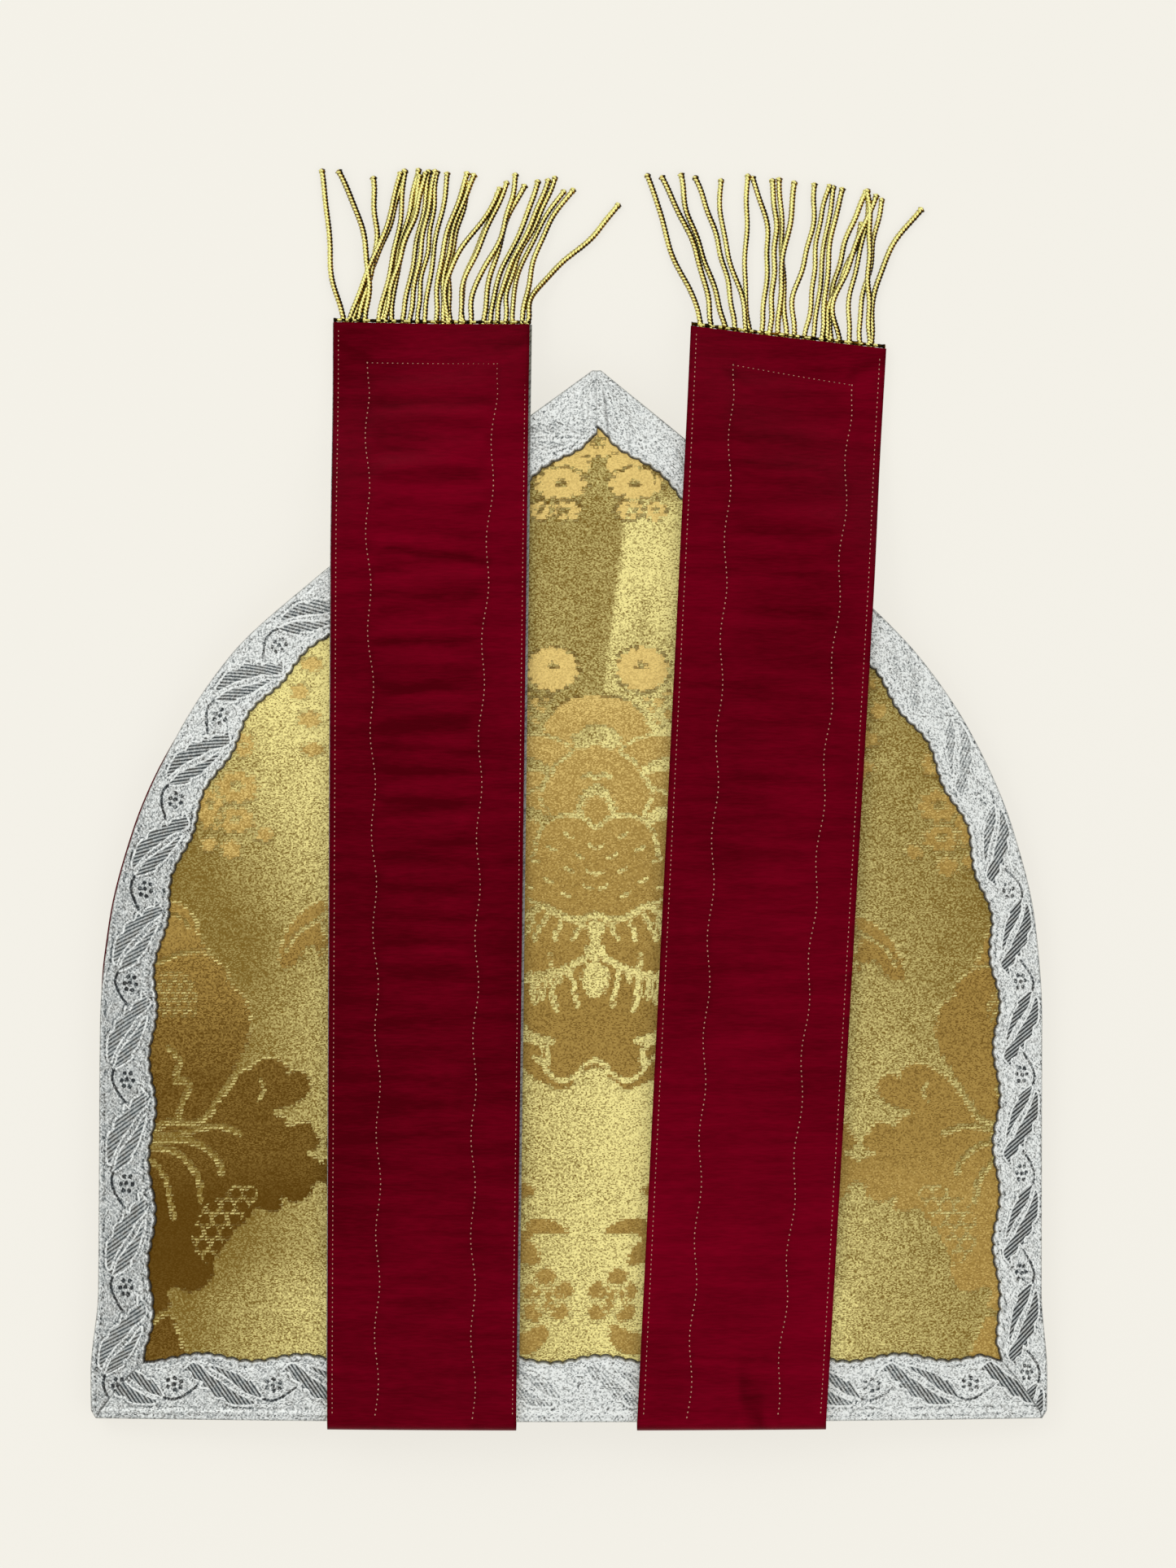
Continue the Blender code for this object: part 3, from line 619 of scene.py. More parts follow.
def motif_fields(motif, p, q):
    """Fields of a motif's figures and of the ground-coloured lines drawn on them."""
    figures, lines = no_line(p.size), no_line(p.size)
    for points in motif["outlines"].values():
        figures = nearest(figures, drawn(points, True, p, q))
    for half, points in motif["lines"]:
        lines = closest(lines, drawn(points, False, p, q, half))
    for row in motif["blossoms"]:
        petals = outline_field(blossom(*row), True, p, q, half=PETAL_LINE_HALF_WIDTH)
        figures, lines = nearest(figures, petals), closest(lines, petals)
    for row in motif["eyes"]:
        figures = without(figures, outline_field(blossom(*row), True, p, q))
    for points in motif["holes"].values():
        figures = without(figures, drawn(points, True, p, q))
    for bunch in motif["grapes"].values():
        lines = closest(lines, grape_lines(bunch, p, q))
    reach = BODY_DASH_LENGTH / 2
    for at, up in motif["dashes"]:
        dash = np.array([(at - reach, up - 0.5), (at + 0.2 * reach, up - 0.1), (at + reach, up + 0.7)])
        lines = closest(lines, outline_field(dash, False, p, q, half=BODY_DASH_HALF_WIDTH))
    return figures, lines


def damask_fields(x, y):
    """Fields of the damask's figures and of the ground-coloured lines drawn on them.

    x and y are in millimetres. A figure has its offset and that offset's slopes along x and y. A line
    has these too, and its bare distance and half width.
    """
    shape = np.broadcast(x, y).shape
    x, y = (np.broadcast_to(v, shape).ravel() for v in (x, y))
    aside = x - mirror_x(y)
    tilt = (mirror_x(y + 1) - mirror_x(y - 1)) / 2
    p, turn = np.abs(aside), np.where(aside < 0, -1.0, 1.0)
    skewed = (aside > 0) * smooth((p - SKEW_FROM) / SKEW_OVER)
    knots, nearer, lower = np.transpose(SKEW)
    p = p + skewed * np.interp(y, knots, nearer)
    y = y + skewed * np.interp(y, knots, lower)
    inner = p < REPEAT_EDGE
    sides = motif_fields(SIDE_MOTIF, np.where(inner, 2 * REPEAT_EDGE - p, p), y)
    for field in sides:
        field[:, 1] *= np.where(inner, -1.0, 1.0)
    centres = motif_fields(CENTRE_MOTIF, p, y)

    results = []
    for field in (nearest(centres[0], sides[0]), closest(centres[1], sides[1])):
        along_x = field[:, 1] * turn
        along_y = field[:, 2] - along_x * tilt
        results.append(np.stack([field[:, 0], along_x, along_y], axis=1).reshape(*shape, 3))
        results.append(np.stack([field[:, 3], field[:, 4], 0 * field[:, 3]], axis=1).reshape(*shape, 3))
    return {"figure": results[0], "line": results[2], "line_reach": results[3]}


def curve_at(knots, at):
    """Eased values between a few knots."""
    where, values = np.array(knots, float).T
    k = np.clip(np.searchsorted(where, at) - 1, 0, len(where) - 2)
    return blend(values[k], values[k + 1], smooth((at - where[k]) / (where[k + 1] - where[k])))


def sheen_at(x, y):
    """Painted sheen of ground and figures, and how dark the outlines are painted, at places in millimetres.
    """
    x, y = np.broadcast_arrays(x, y)
    zone = np.searchsorted(ZONE_EDGES, x)
    sheen = np.zeros((3, *x.shape))
    for k, (name, middle) in enumerate(SHEEN_ZONES.items()):
        level = curve_at(GROUND_SHEEN[name], y) + SHEEN_SLOPE[name] * (x - middle)
        here = [level, curve_at(FIGURE_SHEEN[name], y), curve_at(PAINTED_OUTLINE_SHADE[name], y)]
        sheen = np.where(zone == k, here, sheen)
    leaning = x - PATCH_MIDDLE[0] - PATCH_LEAN * (y - PATCH_MIDDLE[1])
    for px, py, half_wide, half_high, soft_wide, soft_high, value in SHEEN_PATCHES:
        across = smooth((half_wide + soft_wide - np.abs(leaning - px)) / (2 * soft_wide))
        up = smooth((half_high + soft_high - np.abs(y - py)) / (2 * soft_high))
        sheen[0] += (value - sheen[0]) * across * up
    return np.stack(sheen, axis=-1)


# === Chart of the galloon, in millimetres: in from its outer edge, and along it ===

RIBBON_REPEAT = 31.2
RIBBON_SHAPES = {
    "leaf_inner_half": (
        (6.6, 18.8), (9.3, 17.4), (12.1, 15.2), (11.6, 14.4), (13.8, 11.4), (15.2, 7.3), (16, 5),
        (16.5, 2.4), (15.7, 3), (13.8, 6.6), (11.3, 9.8), (8.8, 13), (7.8, 14.8), (7, 17.6),
    ),
    "leaf_outer_half": (
        (5.8, 15.4), (7.4, 11.8), (9.4, 8.5), (11.8, 5.3), (13.2, 2.7), (15.2, 0.8), (17.2, -1.8),
        (17.1, -3.5), (16, -4.7), (14.5, -6.3), (14.9, -3.8), (12.5, -2.4), (11.4, 0.6), (10, -0.6),
        (9.6, 2.1), (7.8, 3.2), (6.7, 4.7), (6.6, 6.8), (4.7, 8.9), (4.5, 15.3), (5.4, 16.8),
    ),
}
RIBBON_STEM = ((10, -1.8), (8.2, -4.1), (6.7, -6.5), (5.9, -8.6), (5.9, -10.3), (6.4, -12.1))
RIBBON_BERRIES = (
    (11.4, -6.6), (9.6, -6.8), (12.5, -8.6), (10.5, -8.9), (8.9, -8.6), (11.8, -10.8), (9.8, -10.8),
)
BERRY_RADIUS = 0.75
# How far in the cord along the outer edge lies.
EDGE_CORD = 1.9


def ribbon_fields(s, w):
    """Signed distance to the galloon's leaf, and distance to its stem and berries, in millimetres."""
    shape = s.shape
    s, w = s.ravel(), w.ravel()
    local = np.mod(s + 12.6, RIBBON_REPEAT) - 12.6
    leaf, line = no_line(s.size), np.full(s.size, FAR)
    for along in (local - RIBBON_REPEAT, local, local + RIBBON_REPEAT):
        for points in RIBBON_SHAPES.values():
            leaf = nearest(leaf, drawn(points, True, w, along, steps=3))
        line = np.minimum(line, drawn(RIBBON_STEM, False, w, along, steps=3)[:, 3])
        for at in RIBBON_BERRIES:
            line = np.minimum(line, np.hypot(w - at[0], along - at[1]) - BERRY_RADIUS + 0.45)
    return leaf[:, 0].reshape(shape), line.reshape(shape)


def ribbon_depth(s, width):
    """Depth of the scalloped inner edge: a slow wave with eight small lobes in each repeat."""
    wave = 1.1 * np.cos(2 * np.pi * s / RIBBON_REPEAT)
    lobes = 0.75 * (np.abs(np.sin(8 * np.pi * s / RIBBON_REPEAT)) ** 0.6 - 0.7)
    return width + wave + lobes


def ribbon_relief(leaf, line, w, rim):
    """Height of the weave above the galloon's own thickness, in millimetres.

    The leaf stands up, the stem and berries are pressed in, the outer edge and inner rim are corded,
    and both edges roll down.
    """
    height = 0.32 * smooth(-leaf / 0.9)
    height += 0.10 * smooth((leaf + 0.1) / 0.6) * (1 - smooth((leaf - 0.7) / 0.8))
    height -= 0.16 * (1 - smooth(line / 0.5))
    for at, middle, size, rise in ((w, EDGE_CORD, 0.55, 0.26), (w, 3.3, 0.4, -0.12), (rim, 0.6, 0.5, 0.30),
                                   (rim, 1.7, 0.35, -0.12)):
        height += rise * bump(at - middle, size)
    return height


def ribbon_marks(s, w, leaf, line, rim, shade, painted_shine, depth):
    """What the galloon's finish reads at each point, with its painted shade and painted sheen."""
    return {"ribbon": grid_of(s, w, leaf), "ribbon_lines_and_shade": grid_of(line, rim, shade),
            "ribbon_painted_sheen": grid_of(painted_shine, depth, 0 * s)}


# === Sizes and colours a user would change ===


def srgb(red, green, blue):
    """Scene-linear colour from three screen values of 0 to 255."""
    values = np.array([red, green, blue]) / 255
    linear = np.where(values <= 0.04045, values / 12.92, ((values + 0.055) / 1.055) ** 2.4)
    return tuple(float(v) for v in linear)


def colour_property(name, description, default):
    """A colour property in scene-linear values."""
    return bpy.props.FloatVectorProperty(name=name, description=description, default=default, size=3,
                                         min=0.0, max=1.0, subtype="COLOR")


def length_property(name, description, default):
    """A length property in metres."""
    return bpy.props.FloatProperty(name=name, description=description, default=default, min=0.0,
                                   precision=5, unit="LENGTH")


class MitreColours(bpy.types.PropertyGroup):
    # Ground and figure colours: the dark and light ends of the damask's painted sheen.
    ground_dark: colour_property("Dark ground", "Damask ground seen across its sheen", srgb(126, 100, 40))
    ground_light: colour_property("Light ground", "Damask ground seen along its sheen", srgb(255, 242, 160))
    figure_light: colour_property("Light figure", "Damask figure over a dark ground", srgb(244, 214, 132))
    figure_middle: colour_property("Figure middle", "Figures where the light falls aslant",
                                   srgb(172, 140, 72))
    figure_dark: colour_property("Dark figure", "Damask figure over a light ground", srgb(88, 58, 8))
    # Colour of the painted glints on the float threads at the figures' edges.
    float_glints: colour_property("Floats", "Light threads that edge the figures", srgb(252, 238, 160))
    crimson: colour_property("Crimson", "Satin of the linings", (0.118, 0.0002, 0.0046))
    silver: colour_property("Silver", "Galloon's ground", srgb(247, 250, 246))
    silver_shade: colour_property("Silver shade", "Twill of the galloon's leaves", srgb(66, 66, 60))
    # The gold's painted highlight, and its painted shade in valleys and on sides away from the light.
    bullion: colour_property("Bullion", "Gold thread of the fringe", srgb(255, 249, 158))
    bullion_shade: colour_property("Bullion shade", "Valleys between the fringe's plies", srgb(176, 126, 26))
    thread: colour_property("Thread", "Sewing thread on the linings", srgb(224, 168, 142))
    floor: colour_property("Floor", "Surface under the mitre", srgb(246, 243, 234))


class MitreSizes(bpy.types.PropertyGroup):
    cell_width: length_property("Cell width", "Width of one step of the damask's edges", 0.00165)
    cell_height: length_property("Cell height", "Height of one step of the damask's edges", 0.00092)
    figure_height: length_property("Figure height", "How far the damask's figures stand up", 0.00012)
    ripple_height: length_property("Ripple height", "Height of the linings' soft ripples", 0.00085)
    stitch_pitch: length_property("Stitch pitch", "Distance between stitches of the wavy lines", 0.0016)
    edge_stitch_pitch: length_property("Edge stitch pitch", "Distance between edge stitches", 0.0015)
    strand_radius: length_property("Strand radius", "Radius of one bullion strand", 0.00098)
    strand_twist: length_property("Strand twist", "Length of one turn of a strand's plies", 0.0022)


class MitreStage(bpy.types.PropertyGroup):
    camera_height: length_property("Camera height", "Height of the camera above the surface", 1.9)
    view_height: length_property("View height", "Length of surface that the picture shows", 0.4952)
    key_power: bpy.props.FloatProperty(name="Key power", description="Power of the key light in watts",
                                       default=6.0, min=0.0)
    ambient: bpy.props.FloatProperty(name="Ambient", description="Strength of the room's light",
                                     default=0.86, min=0.0)


# === Finishes ===


class Value:
    """A number in a material. Sums and comparisons with it each add one Math node."""

    def __init__(self, finish, socket):
        self.finish = finish
        self.socket = socket

    def __add__(self, other):
        return self.finish.math("ADD", self, other)

    def __sub__(self, other):
        return self.finish.math("SUBTRACT", self, other)

    def __rsub__(self, other):
        return self.finish.math("SUBTRACT", other, self)

    def __mul__(self, other):
        return self.finish.math("MULTIPLY", self, other)

    def __truediv__(self, other):
        return self.finish.math("DIVIDE", self, other)

    def __gt__(self, other):
        return self.finish.math("GREATER_THAN", self, other)

    def __lt__(self, other):
        return self.finish.math("LESS_THAN", self, other)

    def __abs__(self):
        return self.finish.math("ABSOLUTE", self)


class Finish:
    """A material with short calls for its nodes. Values, plain numbers and colours can be mixed freely."""

    def __init__(self, name, roughness, metallic, specular):
        self.material = bpy.data.materials.new(name)
        self.material.use_nodes = True
        self.tree = self.material.node_tree
        self.shader = self.tree.nodes["Principled BSDF"]
        self.shader.inputs["Roughness"].default_value = roughness
        self.shader.inputs["Metallic"].default_value = metallic
        self.shader.inputs["Specular IOR Level"].default_value = specular
        self.place = self.node("TexCoord", "Object")
        self.x, self.y, self.z = self.split(self.place)

    def feed(self, socket, value):
        if isinstance(value, Value):
            self.tree.links.new(value.socket, socket)
        elif hasattr(value, "__len__") and len(value) == 3 and len(socket.default_value) == 4:
            socket.default_value = (*value, 1.0)
        else:
            socket.default_value = value

    def node(self, kind, output, **inputs):
        """One output of a new node, whose inputs are given by name with _ for a space."""
        node = self.tree.nodes.new("ShaderNode" + kind)
        for name, value in inputs.items():
            self.feed(node.inputs[name.replace("_", " ")], value)
        return Value(self, node.outputs[output])

    def math(self, operation, *values):
        node = self.tree.nodes.new("ShaderNodeMath")
        node.operation = operation
        for socket, value in zip(node.inputs, values):
            self.feed(socket, value)
        return Value(self, node.outputs[0])

    def ramp(self, value, low, high, start=0.0, end=1.0):
        """Eased step from start at low to end at high."""
        result = self.node("MapRange", "Result", Value=value, From_Min=low, From_Max=high, To_Min=start,
                           To_Max=end)
        result.socket.node.interpolation_type = "SMOOTHSTEP"
        return result

    def mix(self, factor, first, second):
        node = self.tree.nodes.new("ShaderNodeMix")
        node.data_type = "RGBA"
        self.feed(node.inputs["Factor"], factor)
        colours = [socket for socket in node.inputs if socket.type == "RGBA"]
        self.feed(colours[0], first)
        self.feed(colours[1], second)
        return Value(self, next(socket for socket in node.outputs if socket.type == "RGBA"))

    def vector(self, x, y, z=0.0):
        return self.node("CombineXYZ", "Vector", X=x, Y=y, Z=z)

    def split(self, vector):
        node = self.node("SeparateXYZ", "X", Vector=vector).socket.node
        return [Value(self, output) for output in node.outputs]

    def noise(self, vector, scale, detail=2.0, rough=0.5, distortion=0.0):
        return self.node("TexNoise", "Fac", Vector=vector, Scale=scale, Detail=detail, Roughness=rough,
                         Distortion=distortion)

    def random(self, x, y, z=0.0):
        """A number of its own for each whole x, y and z."""
        return self.node("TexWhiteNoise", "Value", Vector=self.vector(x, y, z))

    def marks(self, name):
        """Three numbers that the mesh carries."""
        node = self.node("Attribute", "Vector").socket.node
        node.attribute_name = name
        return self.split(Value(self, node.outputs["Vector"]))

    def mark(self, name):
        """A single number that the mesh carries."""
        node = self.node("Attribute", "Fac").socket.node
        node.attribute_name = name
        return Value(self, node.outputs["Fac"])

    def weave(self, x, y, cell, seed):
        """A random number for each brick of a size, where every row is shifted by its own share."""
        row = self.math("FLOOR", y / cell[1])
        brick = x / cell[0] + self.random(row, seed[0])
        return self.random(self.math("FLOOR", brick), row, seed[1])

    def stripes(self, along, pitch):
        """Sine stripes from 0 to 1, one to each pitch of a length."""
        return self.math("SINE", along * (2 * math.pi / pitch)) * 0.5 + 0.5

    def finish(self, colour, height=None, depth=0.0002, strength=0.6):
        self.feed(self.shader.inputs["Base Color"], colour)
        if height is not None:
            bumps = self.node("Bump", "Normal", Strength=strength, Distance=depth, Height=height)
            self.feed(self.shader.inputs["Normal"], bumps)
        return self.material


# Size of a bound thread of the damask's ground in metres, and of a fleck of the galloon in millimetres.
THREAD_CELL = (0.00046, 0.00032)
FLECK_CELL = (0.46, 0.34)
TWILL_ANGLE = math.radians(35)


def damask_finish(name):
    """Silk stepped on float threads, with painted sheen, glints on edges facing it, shade on those facing
    away.
    """
    colours, sizes = bpy.context.scene.mitre_colours, bpy.context.scene.mitre_sizes
    silk = Finish(name, 0.50, 0.25, 0.25)
    silk.shader.inputs["Specular Tint"].default_value = (1.0, 0.66, 0.14, 1.0)
    cell_y = silk.y / sizes.cell_height
    row = silk.math("FLOOR", cell_y)
    cell_x = silk.x / sizes.cell_width + silk.random(row, 3.0)
    in_x, in_y = (silk.math("FRACT", cell) - 0.5 for cell in (cell_x, cell_y))
    off_x, off_y = in_x * (sizes.cell_width / MM), in_y * (sizes.cell_height / MM)
    which = silk.random(silk.math("FLOOR", cell_x), row)
    jag = silk.noise(silk.place, 1000.0, 1.0) * 1.1 - 0.55

    figure_offset, figure_x, figure_y = silk.marks("figure")
    line_offset, line_x, line_y = silk.marks("line")
    reach, half_width, _ = silk.marks("line_reach")
    figure_at = figure_offset - figure_x * off_x - figure_y * off_y + jag
    line_at = line_offset - line_x * off_x - line_y * off_y
    band = half_width - abs(line_at) + jag * 0.6 - (reach > half_width + 0.40) * FAR
    offset = silk.math("MAXIMUM", figure_at, band)
    line_up = silk.math("SIGN", line_at) * line_y * -1.0
    faces_up = figure_y + (band > figure_at) * (line_up - figure_y)
    figure = offset < 0.0

    # Painted sheen of the ground and the figures, and how far the outlines turn to painted shade.
    ground_sheen, figure_sheen, pale = silk.marks("sheen")
    grain = silk.noise(silk.vector(silk.x * 0.85, silk.y), 2000.0, 0.5, 0.6, 0.2)
    worms = silk.noise(silk.place, 1000.0, 1.0, 0.5, 0.8)
    broad = silk.noise(silk.place, 80.0, 2.0)
    speck = silk.weave(silk.x, silk.y, THREAD_CELL, (7.0, 5.0)) - 0.5
    glitter = silk.ramp(grain, 0.30, 0.70, -0.18, 0.18) + silk.ramp(worms, 0.36, 0.66, -0.04, 0.04)
    glitter = glitter + silk.ramp(broad, 0.3, 0.7, -0.04, 0.04) + speck * 0.95
    # The ground and the figures are mixed between their colours by their painted sheen.
    ground_sheen = silk.math("MAXIMUM", ground_sheen * 0.61 + 0.13, 0.03)
    glitter = glitter * (ground_sheen * 1.1 + 0.40)
    ground = silk.mix(ground_sheen + glitter, colours.ground_dark, colours.ground_light)
    satin = figure_sheen + speck * (figure_sheen * (1.0 - figure_sheen) * 1.8)
    motif = silk.mix(silk.ramp(satin, 0.0, 0.5), colours.figure_light, colours.figure_middle)
    motif = silk.mix(silk.ramp(satin, 0.5, 1.0), motif, colours.figure_dark)
    colour = silk.mix(figure, ground, motif)

    # Painted glints on float threads at edges that face the sheen, painted shade at edges facing away.
    stroke = (abs(in_y - in_x * 0.22) < 0.22) * (abs(in_x) < 0.42)
    edge = abs(offset - 0.12) < 0.50
    facing_painted_light = faces_up * ((figure_sheen > 0.30) * 2.0 - 1.0)
    painted_glint = silk.ramp(facing_painted_light, -0.55, 0.35, 0.10, 1.0) * (which * 0.55 + 0.26)
    painted_shade_behind = silk.ramp(facing_painted_light, 0.35, -0.55) * (which > 0.35)
    painted_shade_behind = silk.math("MAXIMUM", painted_shade_behind, pale * (which > 0.45))
    colour = silk.mix(edge * painted_shade_behind * (pale * 0.40 + 0.26), colour, colours.figure_dark)
    dash = edge * stroke * painted_glint * (pale * -0.65 + 1.0)
    colour = silk.mix(dash, colour, colours.float_glints)
    return silk.finish(colour, grain * 0.8 + figure * 0.4 + dash, 0.00020, 0.5)


def crimson_finish(name):
    """Crimson satin with fine crosswise ribs, lighter or darker by random patches and by painted sheen and
    shade.
    """
    colours = bpy.context.scene.mitre_colours
    satin = Finish(name, 0.50, 0.0, 0.30)
    satin.shader.inputs["Specular Tint"].default_value = (1.0, 0.004, 0.07, 1.0)
    ribs = satin.noise(satin.vector(satin.x * 0.25, satin.y * 2.0), 900.0, 2.0)
    slub = satin.noise(satin.vector(satin.x * 0.12, satin.y * 1.0), 260.0, 3.0)
    patch = satin.noise(satin.place, 22.0, 2.0)
    # Random ribs, slubs and patches, and the mesh's painted sheen and shade, set how light the satin is.
    shade = satin.ramp(ribs, 0.3, 0.7, 0.0, 0.26) + satin.ramp(slub, 0.3, 0.7, -0.08, 0.24)
    shade = shade + satin.ramp(patch, 0.3, 0.7, -0.06, 0.20) + (satin.mark("painted_light") - 0.5)
    # The dark and light ends of the painted shade and sheen.
    deep = tuple(v * 0.50 for v in colours.crimson)
    bright = tuple(v * gain for v, gain in zip(colours.crimson, (1.50, 1.50, 2.10)))
    return satin.finish(satin.mix(shade, deep, bright), ribs, 0.00012, 0.35)


def galloon_finish(name):
    """Silver weave: flecked ground, dark twill on leaves, white outlines, edge slits, painted sheen and
    shadow.
    """
    colours = bpy.context.scene.mitre_colours
    silver = Finish(name, 0.42, 0.25, 0.4)
    along, across, leaf = silver.marks("ribbon")
    line, rim, shade = silver.marks("ribbon_lines_and_shade")
    # Painted sheen along each strip: how brightly the silver shines and how dark its leaves are.
    painted_shine, leaf_darkness_by_sheen, _ = silver.marks("ribbon_painted_sheen")

    def stroke(value, middle, half, soft):
        return silver.ramp(abs(value - middle), half + soft, half - soft)

    turn, climb = math.cos(TWILL_ANGLE), math.sin(TWILL_ANGLE)
    twill = silver.ramp(silver.stripes(across * climb + along * turn, 1.05), 0.15, 0.85)
    hatch = silver.stripes(along * turn - across * climb, 0.95)
    speck = silver.weave(along, across, FLECK_CELL, (3.0, 9.0))
    fleck = silver.ramp(silver.noise(silver.place, 1250.0, 1.5, 0.6, 0.6), 0.35, 0.66, -0.45, 0.45)
    fleck = fleck + (speck * 2.0 - 1.0)
    cool = silver.ramp(silver.noise(silver.place, 420.0, 1.0), 0.35, 0.6)

    ground = silver.ramp(painted_shine, 0.0, 1.0, 0.51, 0.13) + fleck * (painted_shine * 0.22 + 0.30) + (hatch * 0.14 - 0.07)
    deep = twill * (painted_shine * 0.44 + 0.42) + (fleck * 0.12 + 0.55)
    dark = ground + silver.ramp(leaf, 0.12, -0.12) * (leaf_darkness_by_sheen * (deep - ground))
    white = stroke(leaf, 0.30, 0.22, 0.14) * 0.60 + stroke(rim, 0.40, 0.30, 0.2) * 0.32
    white = white + stroke(rim, 2.6, 0.25, 0.2) * 0.25 + stroke(across, 2.2, 0.4, 0.3) * 0.22
    white = white * silver.ramp(fleck, -0.6, 0.8, 1.0, 0.35) * silver.ramp(leaf_darkness_by_sheen, 0.1, 0.8, 0.5, 1.0)
    stem = silver.ramp(line, 0.55, 0.25, 0.0, 0.72) * silver.ramp(leaf_darkness_by_sheen, 0.2, 0.9, 0.15, 1.0)
    dark = dark - white + stroke(leaf, 0.95, 0.22, 0.15) * 0.24 + stem
    dashes = silver.ramp(silver.noise(silver.place, 700.0, 1.0), 0.45, 0.60)
    slits = silver.math("MAXIMUM", stroke(across, 3.4, 0.32, 0.15), stroke(across, 1.0, 0.28, 0.15))
    slits = silver.math("MAXIMUM", slits, stroke(rim, 1.55, 0.38, 0.15))
    dark = dark + slits * dashes * 0.34
    colour = silver.mix(dark, colours.silver, silver.mix(cool, colours.silver_shade, srgb(62, 72, 74)))
    colour = silver.mix(silver.ramp(dark, 0.95, 1.35), colour, srgb(22, 24, 26))
    # Painted shadow at the strip's outer edge, seams, rim flare and the pleat over the peak.
    colour = silver.mix(shade, colour, srgb(34, 26, 14))
    return silver.finish(colour, 1.0 - dark, 0.00022, 0.5)


def bullion_finish(name):
    """Gold wire plies with painted light: shade in the valleys and away from the light, highlight facing it.
    """
    colours = bpy.context.scene.mitre_colours
    gold = Finish(name, 0.27, 0.96, 0.5)
    # The marks carry painted light: valley shade, how squarely a point faces the light, and lean shade.
    ridge, facing_painted_light, away = gold.marks("ply")
    wire = gold.noise(gold.place, 1900.0, 2.0, 0.6)
    patch = gold.noise(gold.place, 70.0, 2.0)
    light = gold.ramp(ridge, 0.0, 0.65, -0.56, 0.30) + gold.ramp(wire, 0.3, 0.7, -0.12, 0.12)
    light = light + gold.ramp(patch, 0.35, 0.7, -0.22, 0.05)
    light = light + gold.ramp(facing_painted_light, 0.45, 0.92, -0.02, 1.26) - away
    deep = gold.mix(gold.ramp(light, 0.0, 0.45), srgb(22, 12, 1), colours.bullion_shade)
    colour = gold.mix(gold.ramp(light, 0.38, 0.90), deep, colours.bullion)
    return gold.finish(colour, wire, 0.00012, 0.35)


def thread_finish(name):
    """Sewing thread, paler and darker by a fine noise."""
    colours = bpy.context.scene.mitre_colours
    thread = Finish(name, 0.55, 0.0, 0.3)
    strands = thread.noise(thread.place, 2400.0, 1.0)
    dull = tuple(v * 0.6 for v in colours.thread)
    colour = thread.mix(thread.ramp(strands, 0.3, 0.7), dull, colours.thread)
    return thread.finish(colour, strands, 0.0001, 0.3)


FINISHES = {
    "gold_damask": ("gold_damask_silk", damask_finish),
    "crimson_lining": ("crimson_satin", crimson_finish),
    "silver_galloon": ("silver_galloon_weave", galloon_finish),
    "gold_bullion": ("gold_bullion_wire", bullion_finish),
    "thread": ("sewing_thread", thread_finish),
}


def shared(kind):
    """The material of a slot or of the thread, made once."""
    name, make = FINISHES[kind]
    return bpy.data.materials.get(name) or make(name)


# === Horns ===

# Columns and rows of the shown side, and columns of the hidden side.
PANEL_GRID = {"back": (273, 296, 17), "front": (161, 176, 3)}
HEAD_LINING_GRID = (97, 56, 17)
LINING_SAG = 0.00025
LINING_SET_BACK = 0.0003
# The satin's plain level of painted light, with no painted sheen or shade.
PLAIN_PAINTED_LIGHT = 0.5
GUSSET_ROWS = (60, 9)
# Columns of each side of the gusset's cloth, and how deep it lies.
GUSSET_SIDES = ((65, 0.0), (17, LINING_THICK))


def outline_area(heights, inset=0.0):
    """Flat area between the outlines over a run of heights."""
    return float(np.trapz(2 * (half_width(heights) - inset), heights))


def panel_grid(heights, columns, inset=0.0):
    """X and Y across the outline: the middle plus an even share of the half width at each height."""
    across = np.linspace(-1, 1, columns)[None, :]
    height = heights[:, None]
    return lean(height) + across * (half_width(height) - inset), height + BRIM_Y + 0 * across


def horn_sheet(horn, base, thick, shown_side, grid, relief, marks):
    """A layer of a horn, with relief on its shown side, which is 1 for the top and 0 for the underside."""
    x, y, hidden_x, hidden_y = grid
    rise = crown if horn == "back" else lambda x, y: 0.0
    shown = grid_of(x, y, base + thick * shown_side + rise(x, y) + relief)
    hidden = grid_of(hidden_x, hidden_y, base + thick * (1 - shown_side) + rise(hidden_x, hidden_y))
    return [sheet_part(shown, hidden, marks)]


def add_panel(horn):
    """A stiffened damask panel: its shown side is a fine grid with raised figures."""
    columns, rows, coarse = PANEL_GRID[horn]
    heights = np.linspace(0, PEAK_HEIGHT, rows)
    x, y = panel_grid(heights, columns)
    marks = damask_fields(x / MM, y / MM)
    marks["sheen"] = sheen_at(x / MM, y / MM)
    relief = bpy.context.scene.mitre_sizes.figure_height * smooth((0.4 - marks["figure"][..., 0]) / 1.2)
    base, side, up = (BACK_PANEL_Z, 1, 1) if horn == "back" else (FRONT_PANEL_Z, 0, -1)
    grid = (x, y, *panel_grid(heights, coarse))
    parts = horn_sheet(horn, base, PANEL_THICK, side, grid, up * relief, marks)
    return add_piece(f"{horn}_damask", parts, "gold_damask", [f"{horn}_panel"]), outline_area(heights)


